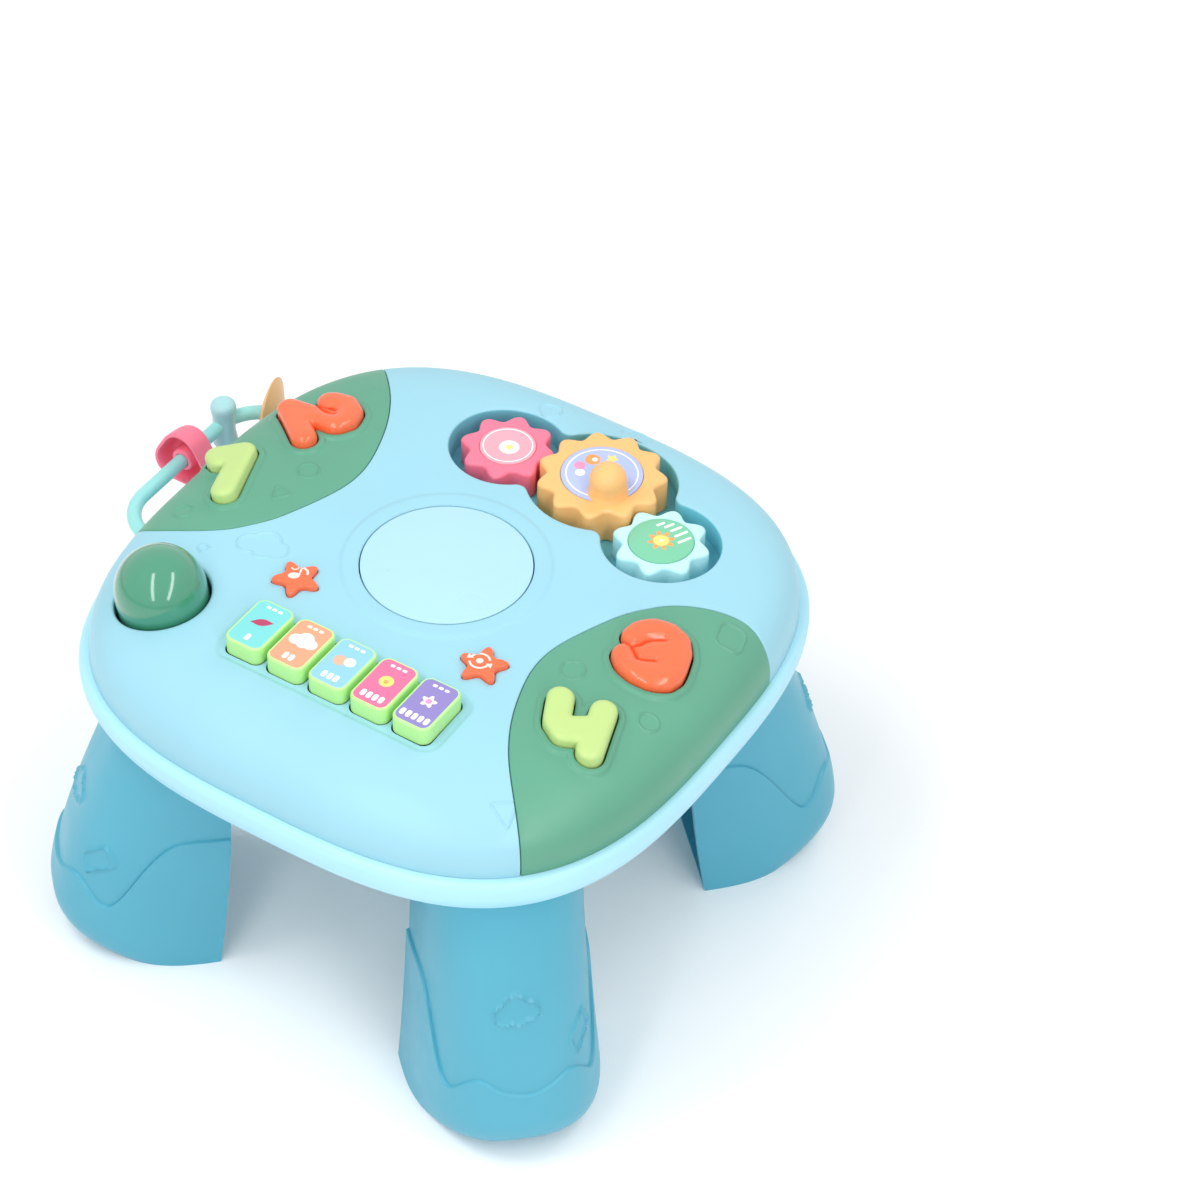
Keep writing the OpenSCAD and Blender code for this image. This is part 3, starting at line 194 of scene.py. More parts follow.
def union(outlines):
    """Outer outline round overlapping outlines, anticlockwise."""
    corners = np.vstack(outlines)
    ends = np.cumsum([0] + [len(o) for o in outlines])
    loops = [list(range(ends[k], ends[k + 1])) for k in range(len(outlines))]
    points, _, faces, _, _, origin = delaunay_2d_cdt(
        [Vector(c) for c in corners.tolist()], [], loops, 1, 1e-6)
    following = {}
    for face, source in zip(faces, origin):
        if source:
            for a, b in zip(face, face[1:] + face[:1]):
                following[(a, b)] = b
    border = {a: b for a, b in following if (b, a) not in following}
    best = []
    while border:
        start, at = border.popitem()
        loop = [start]
        while at != start:
            loop.append(at)
            at = border.pop(at)
        xy = np.array([points[i][:] for i in loop])
        if len(xy) > len(best) and area(xy) > 0:
            best = xy
    return best


def area(outline):
    """Signed area inside an outline, above zero where it runs anticlockwise."""
    x, y = outline[:, 0], outline[:, 1]
    return 0.5 * float((x * np.roll(y, -1) - y * np.roll(x, -1)).sum())


def fill(outer, holes=(), points=None):
    """Delaunay triangles between a closed outline and its holes, with the given points inside."""
    rings = [outer, *holes]
    ends = np.cumsum([0] + [len(r) for r in rings])
    loops = [list(range(ends[k], ends[k + 1])) for k in range(len(rings))]
    corners = np.vstack(rings if points is None or not len(points) else [*rings, points])
    found, _, faces, _, _, origin = delaunay_2d_cdt(
        [Vector(c) for c in corners.tolist()], [], loops, 1, 1e-7)
    return facing_up(found, [f for f, source in zip(faces, origin) if 0 in source and len(source) == 1])


def facing_up(found, faces):
    """Points and triangles of a plane mesh as arrays, every triangle anticlockwise."""
    xy, tri = np.array([p[:] for p in found]), np.array(faces, int)
    a, b, c = (xy[tri[:, k]] for k in range(3))
    turn = (b[:, 0] - a[:, 0]) * (c[:, 1] - a[:, 1]) - (b[:, 1] - a[:, 1]) * (c[:, 0] - a[:, 0])
    tri[turn < 0] = tri[turn < 0][:, ::-1]
    return xy, tri


def scatter(outer, holes, gap, clear):
    """Points of a triangular grid inside an outline, kept clear of it and of its holes."""
    low, high = outer.min(0), outer.max(0)
    rows = np.arange(low[1], high[1], gap * 0.866)
    cols = np.arange(low[0], high[0], gap)
    x, y = np.meshgrid(cols, rows)
    x = x + (np.arange(len(rows))[:, None] % 2) * gap / 2
    p = np.column_stack([x.ravel(), y.ravel()])
    p = p[inside(p, outer)]
    return clear_of(p, [outer, *holes], clear, holes)


def clear_of(points, outlines, clear, holes=()):
    """The points that are at least clear away from every outline and in no hole."""
    p = points
    for outline in outlines:
        p = p[closed_distance(p, outline) > clear]
    for hole in holes:
        p = p[~inside(p, hole)]
    return p


# ---- Meshes ------------------------------------------------------------------

def grid(rows, closed=False, flip=False):
    """Quads between rows of points, all with as many points; closed joins each row's ends."""
    rows = np.asarray(rows, float)
    m, n = rows.shape[:2]
    i, j = np.meshgrid(np.arange(m - 1), np.arange(n if closed else n - 1), indexing="ij")
    k = (j + 1) % n
    quads = np.stack([i * n + j, i * n + k, (i + 1) * n + k, (i + 1) * n + j], -1).reshape(-1, 4)
    return rows.reshape(-1, 3), quads[:, ::-1] if flip else quads


def lathe(profile, count=96):
    """Turns a profile of (radius, height) pairs about Z; the outside is to the profile's right."""
    a = np.linspace(0, 2 * np.pi, count, endpoint=False)
    p = np.array(profile, float)
    rows = np.stack([p[:, :1] * np.cos(a), p[:, :1] * np.sin(a), np.repeat(p[:, 1:], count, 1)], -1)
    return grid(rows, closed=True)


def arc(radius, start, end, steps, centre=(0, 0)):
    """Points of an arc, in degrees."""
    a = np.linspace(start, end, steps + 1) * RAD
    return np.array(centre) + radius * np.column_stack([np.cos(a), np.sin(a)])


def tube(path, radius, sides=32):
    """Round tube along a path that is nowhere upright: circles square to it, each with its top upwards."""
    p = np.asarray(path, float)
    along = np.gradient(p, axis=0)
    along /= np.linalg.norm(along, axis=1, keepdims=True)
    up = np.array([0, 0, 1.0])
    side = np.cross(along, up)
    side /= np.linalg.norm(side, axis=1, keepdims=True)
    top = np.cross(side, along)
    a = np.linspace(0, 2 * np.pi, sides, endpoint=False)
    r = np.broadcast_to(np.asarray(radius, float), (len(p),))
    ring = side[:, None] * np.cos(a)[None, :, None] + top[:, None] * np.sin(a)[None, :, None]
    return grid(p[:, None] + ring * r[:, None, None], closed=True, flip=True)


def raised(xy, z):
    """Plane points at a height."""
    return np.column_stack([xy, np.broadcast_to(z, (len(xy),))])


class Turned:
    """A place for shapes: its origin and its three axes as rows."""

    def __init__(self, origin, axes):
        self.origin = np.array(origin, float)
        self.axes = np.array(axes, float)

    def out(self, local):
        """Local points in the table's frame."""
        return np.asarray(local) @ self.axes + self.origin

    def into(self, points):
        """Points of the table's frame in the local one."""
        return (np.asarray(points) - self.origin) @ self.axes.T


def standing(x, y, z=0.0, turn=0.0):
    """An upright place, turned about Z."""
    c, s = np.cos(turn * RAD), np.sin(turn * RAD)
    return Turned((x, y, z), [(c, s, 0), (-s, c, 0), (0, 0, 1)])


def lifted(parts, place):
    """The same parts with local points put at a place."""
    return [(place.out(part[0]), *part[1:]) for part in parts]


def solid(name, parts, materials, body="root", replaces=(), merge=0.002, sharp=40):
    """Makes one piece from (points, faces) or (points, faces, material number) parts.

    Points closer than merge, in millimetres, become one; edges sharper than sharp degrees stay crisp.
    """
    points, loops, sizes, slots, base = [], [], [], [], 0
    for part in parts:
        p, f = part[0], np.asarray(part[1])
        points.append(np.asarray(p, float))
        loops.append((f + base).ravel())
        sizes.append(np.full(len(f), f.shape[1]))
        slots.append(np.full(len(f), part[2] if len(part) > 2 else 0))
        base += len(p)
    points = (np.vstack(points) + MIDDLE) * MM
    loops, sizes, slots = np.concatenate(loops), np.concatenate(sizes), np.concatenate(slots)
    points, loops, sizes, slots = weld(points, loops, sizes, slots, merge * MM)
    mesh = bpy.data.meshes.new(name)
    mesh.vertices.add(len(points))
    mesh.vertices.foreach_set("co", points.astype(np.float32).ravel())
    mesh.loops.add(len(loops))
    mesh.loops.foreach_set("vertex_index", loops.astype(np.int32))
    mesh.polygons.add(len(sizes))
    mesh.polygons.foreach_set("loop_start", np.concatenate([[0], np.cumsum(sizes)[:-1]]).astype(np.int32))
    mesh.polygons.foreach_set("material_index", slots.astype(np.int32))
    mesh.update(calc_edges=True)
    mesh.validate()
    for material in materials if isinstance(materials, (list, tuple)) else [materials]:
        mesh.materials.append(material)
    mesh.shade_smooth()
    mesh.set_sharp_from_angle(angle=sharp * RAD)
    piece = bpy.data.objects.new(name, mesh)
    bpy.context.scene.collection.objects.link(piece)
    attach(piece, body)
    if replaces:
        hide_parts(*replaces)
    return piece


def weld(points, loops, sizes, slots, gap):
    """Gives points that share a cell of the gap's size one index.

    Corners and faces that shrink away are dropped.
    """
    cell = np.round(points / gap).astype(np.int64)
    _, first, same = np.unique(cell, axis=0, return_index=True, return_inverse=True)
    loops = same.ravel()[loops]
    starts = np.concatenate([[0], np.cumsum(sizes)[:-1]])
    following = np.arange(1, len(loops) + 1)
    following[starts + sizes - 1] = starts
    keep = loops != loops[following]
    corners = np.add.reduceat(keep.astype(int), starts)
    keep &= np.repeat(corners > 2, sizes)
    return points[first], loops[keep], corners[corners > 2], slots[corners > 2]


# ---- The domed top -----------------------------------------------------------

def plan_norm(p):
    """Half width of the rounded-square plan that passes through each point."""
    return (np.abs(p[:, 0]) ** PLAN_N + np.abs(p[:, 1]) ** PLAN_N) ** (1 / PLAN_N)


def plan_ring(half, count=288, start=0.0, end=360.0):
    """Points of the rounded-square plan at even angles."""
    a = np.linspace(start, end, count, endpoint=end - start < 360) * RAD
    d = np.column_stack([np.cos(a), np.sin(a)])
    return d * (half / plan_norm(d))[:, None]


# Section of the dome from the crown to the parting line, by the distance along it
_share = 1 - (1 - np.linspace(0, 1, 8001)) ** 4
RADIUS = TOP_HALF * _share
HEIGHT = PART_Z + (CROWN_Z - PART_Z) * np.maximum(0, 1 - _share ** DOME_FLAT) ** (1 / DOME_EDGE)
REACH = np.concatenate([[0], np.cumsum(np.hypot(np.diff(RADIUS), np.diff(HEIGHT)))])
REACH_END = REACH[-1]


def dome(u):
    """Point of the dome for a place on its unrolled plan, where the plan's norm is the way along it."""
    t = plan_norm(u)
    r = np.interp(t, REACH, RADIUS)
    return np.column_stack([u * (r / np.maximum(t, 1e-9))[:, None], np.interp(t, REACH, HEIGHT)])


def unroll(xy):
    """Place on the unrolled plan of the dome's point above xy."""
    r = plan_norm(xy)
    t = np.interp(r, RADIUS, REACH) + np.maximum(0, r - TOP_HALF)
    return xy * (t / np.maximum(r, 1e-9))[:, None]


def dome_normal(u, h=0.2):
    """Unit outward normal of the dome, from differences along the unrolled plan."""
    dx = dome(u + [h, 0]) - dome(u - [h, 0])
    dy = dome(u + [0, h]) - dome(u - [0, h])
    n = np.cross(dx, dy)
    return n / np.linalg.norm(n, axis=1, keepdims=True)


def on_dome(x, y, turn=0.0, h=0.5):
    """A place on the dome with its third axis along the normal, as the CAD part sets its buttons."""
    here = unroll(np.array([[x, y]]))

    def z(px, py):
        """Height of the dome at a place in plan."""
        return dome(unroll(np.array([[px, py]])))[0, 2]

    slope_x, slope_y = (z(x + h, y) - z(x - h, y)) / (2 * h), (z(x, y + h) - z(x, y - h)) / (2 * h)
    normal = np.array([-slope_x, -slope_y, 1.0])
    tilt = np.arccos(1 / np.linalg.norm(normal))
    spin = Matrix.Rotation(np.arctan2(normal[1], normal[0]), 3, "Z")
    turned = spin @ Matrix.Rotation(tilt, 3, "Y") @ spin.inverted() @ Matrix.Rotation(turn * RAD, 3, "Z")
    return Turned(dome(here)[0], np.array(turned).T)


def to_unrolled(place, local):
    """Unrolled places of the dome's points over a local outline, followed along the place's normal."""
    lift = np.zeros(len(local))
    for _ in range(25):
        p = place.out(np.column_stack([local, lift]))
        lift = lift + (dome(unroll(p[:, :2]))[:, 2] - p[:, 2]) * place.axes[2, 2]
    return unroll(place.out(np.column_stack([local, lift]))[:, :2])


def lip(outline, radius, depth, down, closed=True, lift=None, steps=5):
    """Rounded lip and wall of an opening, on the left of an unrolled outline that runs anticlockwise.

    Rows run from the dome, a radius outside the outline, over a quarter circle and down to the depth.
    """
    normal = left_normals(outline, closed)
    h = 0 if lift is None else lift
    rows = []
    for a in np.linspace(0, 90, steps + 1) * RAD:
        u = outline - normal * radius * (1 - np.sin(a))
        rows.append(dome(u) + dome_normal(u) * h - down * radius * (1 - np.cos(a)))
    for d in np.linspace(radius, depth, 5)[1:]:
        rows.append(dome(outline) + dome_normal(outline) * h - down * d)
    return np.array(rows)


# ---- Materials ---------------------------------------------------------------

def linear(rgb):
    """Linear colour of an sRGB colour with parts from 0 to 255."""
    c = np.array(rgb, float) / 255
    return tuple(np.where(c <= 0.04045, c / 12.92, ((c + 0.055) / 1.055) ** 2.4)) + (1.0,)


def moulded_group():
    """Node group for moulded plastic: soft clouding of the colour, uneven gloss and a fine grain."""
    group = bpy.data.node_groups.new("moulded_plastic", "ShaderNodeTree")
    face = group.interface
    for name, kind in (("Color", "NodeSocketColor"), ("Roughness", "NodeSocketFloat"),
                       ("Grain", "NodeSocketFloat"), ("Clouding", "NodeSocketFloat")):
        face.new_socket(name=name, in_out="INPUT", socket_type=kind)
    for name, kind in (("Color", "NodeSocketColor"), ("Roughness", "NodeSocketFloat"),
                       ("Normal", "NodeSocketVector")):
        face.new_socket(name=name, in_out="OUTPUT", socket_type=kind)
    nodes, link = group.nodes, group.links.new
    start, end = nodes.new("NodeGroupInput"), nodes.new("NodeGroupOutput")
    place = nodes.new("ShaderNodeTexCoord")

    def noise(scale, detail):
        """Noise on the piece's own coordinates."""
        n = nodes.new("ShaderNodeTexNoise")
        n.inputs["Scale"].default_value = scale
        n.inputs["Detail"].default_value = detail
        link(place.outputs["Object"], n.inputs["Vector"])
        return n.outputs["Fac"]

    def remap(value, low, high):
        """The middle of the noise's range spread from low to high."""
        n = nodes.new("ShaderNodeMapRange")
        n.inputs["From Min"].default_value, n.inputs["From Max"].default_value = 0.3, 0.7
        n.inputs["To Min"].default_value, n.inputs["To Max"].default_value = low, high
        link(value, n.inputs["Value"])
        return n.outputs["Result"]

    def math(kind, a, b):
        """A sum or product of numbers or sockets."""
        n = nodes.new("ShaderNodeMath")
        n.operation = kind
        for socket, value in zip(n.inputs, (a, b)):
            if isinstance(value, (int, float)):
                socket.default_value = value
            else:
                link(value, socket)
        return n.outputs["Value"]

    shade = nodes.new("ShaderNodeHueSaturation")
    cloud = remap(noise(14, 2), -1, 1)
    link(math("ADD", 1.0, math("MULTIPLY", cloud, start.outputs["Clouding"])), shade.inputs["Value"])
    link(start.outputs["Color"], shade.inputs["Color"])
    link(shade.outputs["Color"], end.inputs["Color"])
    smear = remap(noise(38, 4), 0.85, 1.2)
    link(math("MULTIPLY", start.outputs["Roughness"], smear), end.inputs["Roughness"])
    bump = nodes.new("ShaderNodeBump")
    bump.inputs["Distance"].default_value = 0.00004
    link(start.outputs["Grain"], bump.inputs["Strength"])
    link(noise(2600, 3), bump.inputs["Height"])
    link(bump.outputs["Normal"], end.inputs["Normal"])
    return group


MOULDED = moulded_group()


def plastic(name, rgb, roughness, grain, clouding=0.02, coat=0.0, sss=0.0):
    """Moulded plastic with its own colour, gloss and grain."""
    material = bpy.data.materials.new(name)
    material.use_nodes = True
    nodes, link = material.node_tree.nodes, material.node_tree.links.new
    shader = nodes["Principled BSDF"]
    shader.inputs["Coat Weight"].default_value = coat
    shader.inputs["Coat Roughness"].default_value = 0.06
    shader.inputs["Subsurface Weight"].default_value = sss
    shader.inputs["Subsurface Radius"].default_value = (0.5, 0.6, 0.7)
    shader.inputs["Subsurface Scale"].default_value = 0.004
    group = nodes.new("ShaderNodeGroup")
    group.node_tree = MOULDED
    group.inputs["Color"].default_value = linear(rgb)
    group.inputs["Roughness"].default_value = roughness
    group.inputs["Grain"].default_value = grain
    group.inputs["Clouding"].default_value = clouding
    link(group.outputs["Color"], shader.inputs["Base Color"])
    link(group.outputs["Roughness"], shader.inputs["Roughness"])
    link(group.outputs["Normal"], shader.inputs["Normal"])
    material.diffuse_color = linear(rgb)
    return material


def metal(name, rgb, roughness):
    """Plated metal: the plastic's nodes with its shader made metallic."""
    material = plastic(name, rgb, roughness, 0.15, 0.04)
    material.node_tree.nodes["Principled BSDF"].inputs["Metallic"].default_value = 1.0
    return material


def film(name, rgb):
    """Coloured sticker film, without grain."""
    return plastic("film_" + name, rgb, 0.3, 0.0)


def ink(name, rgb):
    """Printed colour, even and without grain."""
    return plastic("print_" + name, rgb, 0.35, 0.0, 0.0)


SKY = plastic("sky_top", (150, 202, 218), 0.42, 0.3)
# Painted shade: the walls and floor of the gear well are the top's own plastic, coloured a darker teal for
# the shade in the recess
WELL_SHADE = plastic("well_painted_shade", (108, 190, 206), 0.42, 0.3)
PALE = plastic("pale_base", (172, 224, 239), 0.42, 0.3)
LEAF = plastic("leaf_green", (90, 155, 129), 0.40, 0.3, 0.03)
TEAL = plastic("leg_teal", (80, 166, 189), 0.36, 0.3, 0.03)
LENS = plastic("milky_lens", (170, 213, 227), 0.30, 0.1, 0.01, sss=0.15)
DOME_GREEN = plastic("dome_green", (62, 141, 111), 0.12, 0.02, 0.01, coat=0.8)
ORANGE = plastic("number_orange", (246, 106, 62), 0.22, 0.05, 0.01, coat=0.35)
YELLOW_GREEN = plastic("number_green", (184, 211, 132), 0.34, 0.2, 0.01)
LIME = plastic("key_lime", (186, 238, 150), 0.34, 0.15, 0.01)
ROSE = plastic("rose", (250, 120, 146), 0.36, 0.2)
SAND = plastic("sand_yellow", (244, 187, 119), 0.36, 0.2)
MINT = plastic("mint", (152, 219, 217), 0.34, 0.2)
GEAR_MINT = plastic("gear_mint", (188, 238, 242), 0.34, 0.2)
SPOOL = plastic("spool_cyan", (166, 211, 215), 0.34, 0.2)
AMBER = plastic("amber", (238, 178, 116), 0.34, 0.2)
FILM_ROSE = film("rose", (248, 164, 178))
FILM_LILAC = film("lilac", (176, 190, 236))
FILM_GREEN = film("green", (120, 196, 160))
PRINT_WHITE = ink("white", (250, 246, 244))
PRINT_BLUSH = ink("blush", (255, 216, 210))
PRINT_TAN = ink("tan", (214, 178, 150))
PRINT_CRIMSON = ink("crimson", (176, 62, 98))
PRINT_ORANGE = ink("orange", (250, 162, 96))
PRINT_PINK = ink("pink", (246, 150, 190))
PRINT_YELLOW = ink("yellow", (255, 220, 120))
KEY_FILMS = [plastic("key_film_%d" % (k + 1), rgb, 0.34, 0.0) for k, rgb in enumerate([
    (120, 208, 208), (244, 160, 126), (140, 198, 236), (240, 112, 152), (140, 128, 190)])]
BLACK = plastic("black_plastic", (40, 40, 44), 0.5, 0.3)
BOARD = plastic("board_green", (40, 104, 70), 0.45, 0.1, 0.05)
GREY_RUBBER = plastic("grey_rubber", (140, 142, 146), 0.65, 0.3)
STEEL = metal("zinc_steel", (196, 198, 204), 0.3)
CELL = plastic("cell_jacket", (52, 62, 84), 0.3, 0.0)


# ---- Leaf edge ---------------------------------------------------------------

LEAF_TIP = TOP_HALF - 26
LEAF_EDGE = smooth_path([
    (LEAF_TIP, -LEAF_TIP), (98, -93), (80.5, -58), (75.5, -25), (88, 12), (100, 30.5),
    (111, 41), (127, 49.5), (143, 53.5), (158, 50), (TOP_HALF + 12, 45)], 20)


def leaf_edge(grow):
    """Unrolled edge of the right leaf, moved towards the middle by grow, cut off at the parting line."""
    path = resample(LEAF_EDGE, 1.0, closed=False)
    path = unroll(path + left_normals(path, closed=False) * grow)
    t = plan_norm(path)
    on = np.flatnonzero(t < REACH_END)
    first, last = on[0], on[-1]

    def crossing(out, into):
        """Point on the parting line between a point outside it and one within."""
        share = (REACH_END - t[out]) / (t[into] - t[out])
        return path[out] + share * (path[into] - path[out])

    cut = np.vstack([crossing(first - 1, first), path[first:last + 1], crossing(last + 1, last)])
    return resample(cut, 1.0, closed=False)


def border_arc(start, end, gap=1.5):
    """Unrolled points of the parting line from one angle to another, in degrees, without both ends."""
    count = int(abs(end - start) * RAD * REACH_END / gap)
    return plan_ring(REACH_END, count + 2, start, end)[1:-1]


def angle_of(p):
    """Direction of a plane point from the origin, in degrees."""
    return np.arctan2(p[1], p[0]) / RAD


# ---- Motifs moulded into the surfaces ----------------------------------------

def cloud_outline(size):
    """Outline of a small cloud: three lobes over a long base, softened."""
    lobes = [circle(r * size, 0.5, (x * size, y * size))
             for r, x, y in ((0.42, -0.5, 0), (0.5, 0, 0.28), (0.4, 0.52, 0.02), (0.34, 0.05, -0.16))]
    return soften(resample(union(lobes), 0.5), 3)


def polygon_outline(radius, sides, turn, rounds=10):
    """Regular outline with rounded corners."""
    a = (np.arange(sides) * 360 / sides + turn) * RAD
    return soften(resample(radius * np.column_stack([np.cos(a), np.sin(a)]), 0.5), rounds)


def ridge(distance, width, height):
    """Height of a soft ridge over a line: cosine hump of the width."""
    return height * 0.5 * (1 + np.cos(np.pi * np.clip(distance / (width / 2), -1, 1)))


def spun(outline, turn):
    """The outline turned about the origin, in degrees."""
    c, s = np.cos(turn * RAD), np.sin(turn * RAD)
    return outline @ np.array([[c, s], [-s, c]])


def moved(outline, x, y, turn=0.0):
    """The outline turned and then shifted."""
    return spun(outline, turn) + [x, y]


TOP_MOTIFS = [moved(cloud_outline(15), -83.2, -40.2, 8), moved(polygon_outline(3.6, 4, 20), -108, -56),
              moved(polygon_outline(8, 3, 70), 112, -118), moved(circle(6, 0.5), -24, 132),
              moved(cloud_outline(9), 22, 142, 4), moved(polygon_outline(6, 4, 30), 54, -104)]
# The motifs of a leaf, by the index of its first number button, counted from 0
LEAF_MOTIFS = {
    2: [moved(circle(6, 0.5), 92, -28), moved(round_rect(13, 15, 4), 140, 40, 14),
        moved(circle(5, 0.5), 138, -33)],
    0: [moved(circle(5.5, 0.5), -98, 20), moved(polygon_outline(6, 3, 25), -100, -2),
        moved(circle(5.0, 0.5), -136, -36)],
}
MOTIF_W, MOTIF_H, MOTIF_REACH = 2.2, 0.75, 30
# Distance that stands for any point beyond a reach
FAR = 99.0


def motif_height(xy, motifs):
    """Ridges along the motifs' outlines."""
    h = np.zeros(len(xy))
    for outline in motifs:
        near = np.abs(xy - outline.mean(0)).max(1) < MOTIF_REACH
        h[near] = np.maximum(h[near], ridge(closed_distance(xy[near], outline), MOTIF_W, MOTIF_H))
    return h


def motif_points(motifs):
    """Rows of points along the motifs' ridges, in plan."""
    rows = []
    for outline in motifs:
        path = resample(outline, 0.8)
        normal = left_normals(path)
        rows += [path + normal * k for k in (-1.4, -1.1, -0.7, -0.35, 0, 0.35, 0.7, 1.1, 1.4)]
    return np.vstack(rows)


# ---- Gear places -------------------------------------------------------------

GEAR_MIDDLE = np.array([29.0, 98.0])
GEAR_CENTRES = 54.2
SMALL_TEETH, BIG_TEETH = 8, 11
TOOTH_H, TOOTH_SLACK = 2.5, 0.9
GEAR_T = 15
GEAR_TOP = CROWN_Z - 1
WELL_Z = GEAR_TOP - GEAR_T - 1
WELL_GAP, WELL_CUSP = 5.0, 6.0
MIDDLE_LIFT, MIDDLE_TURN = 4, 94
# Directions from the middle gear to the small ones, in degrees
LINES = (184.8, -24.6)


def small_centre(line):
    """Centre of a small gear on a line from the middle gear's."""
    return GEAR_MIDDLE + GEAR_CENTRES * np.array([np.cos(line * RAD), np.sin(line * RAD)])


def mate_turn(line):
    """Turn of a small gear that shows a valley where the middle gear shows a tooth."""
    return line + 180 + (180 + BIG_TEETH * (line - MIDDLE_TURN)) / SMALL_TEETH


GEAR_TEETH = [SMALL_TEETH, BIG_TEETH, SMALL_TEETH]
PITCH = [GEAR_CENTRES * t / (SMALL_TEETH + BIG_TEETH) for t in GEAR_TEETH]
GEAR_AT = [small_centre(LINES[0]), GEAR_MIDDLE, small_centre(LINES[1])]
GEAR_TURN = [mate_turn(LINES[0]), MIDDLE_TURN, mate_turn(LINES[1])]


def well_outline(grow):
    """Outline of the gear well: arcs of three circles, joined by fillets in place of their cusps.

    A fillet's centre is a point as far from both circles as the fillet's radius.
    """
    fillet = WELL_CUSP - grow
    tour = [2, 1, 0, 1]
    radius = [PITCH[k] + TOOTH_H + WELL_GAP + grow for k in tour]
    centre = [GEAR_AT[k] for k in tour]
    joints = []
    for i in range(4):
        j = (i + 1) % 4
        span = centre[j] - centre[i]
        d = np.linalg.norm(span)
        along, out = span / d, np.array([span[1], -span[0]]) / d
        a = ((radius[i] + fillet) ** 2 - (radius[j] + fillet) ** 2 + d * d) / (2 * d)
        joints.append(centre[i] + along * a + out * np.sqrt((radius[i] + fillet) ** 2 - a * a))
    rows = []
    for i in range(4):
        start, end = angle_of(joints[i - 1] - centre[i]), angle_of(joints[i] - centre[i])
        rows.append(arc(radius[i], start, start + (end - start) % 360, 60, centre[i]))
        start, end = angle_of(centre[i] - joints[i]), angle_of(centre[(i + 1) % 4] - joints[i])
        rows.append(arc(fillet, start, start - (start - end) % 360, 12, joints[i])[1:-1])
    return resample(np.vstack(rows), 0.9)


# ---- Keys, stars, dome and lens places ---------------------------------------

KEY_X, KEY_Y = 2.0, -92.3
KEY_PITCH, KEY_W, KEY_L, KEY_CORNER = 24.4, 21.4, 33.2, 5.0
KEY_TOP = cad_box("key_3")[1][2]
TRAY_DEEP, TRAY_EDGE, TRAY_SOFT, TRAY_REACH = 1.0, 4.0, 1.4, 80
KEY_AT = [KEY_X + (k - 2) * KEY_PITCH for k in range(5)]
STAR_X, STAR_Y, STAR_R = 55.0, -50.5, 12.2
# Turn of the left star, on side -1, and of the right one
STAR_TURN = {-1: 0, 1: 180}
LENS_R = 43.0
# The raised ring round the lens and the sunken seat within it, each with the radii between which it ends
RING_H, RING_FALL = 1.2, (51.2, 54.0)
SINK_H, SINK_FALL = 0.35, (43.5, 47.5)
DOME_R, DOME_TOP, DOME_LIP, DOME_GAP = 23.3, 25.0, 2.0, 1.4
DOME_PLACE = on_dome(52.8 - TOP_HALF, 67.6 - TOP_HALF)
KEY_TRAY = moved(round_rect(5 * KEY_PITCH + 2 * TRAY_EDGE, KEY_L + 2 * TRAY_EDGE, 9, 12), KEY_X, KEY_Y)


def top_height(xy):
    """Relief of the top: a raised ring round the lens's seat, the sunken key tray and the moulded motifs."""
    r = np.linalg.norm(xy, axis=1)
    h = RING_H * (1 - step(r, *RING_FALL)) - SINK_H * (1 - step(r, *SINK_FALL))
    near = np.abs(xy - [KEY_X, KEY_Y]).max(1) < TRAY_REACH
    tray = np.full(len(xy), FAR)
    tray[near] = signed_distance(xy[near], KEY_TRAY)
    h = h - TRAY_DEEP * (1 - step(tray, -TRAY_SOFT, TRAY_SOFT))
    return h + motif_height(xy, TOP_MOTIFS)


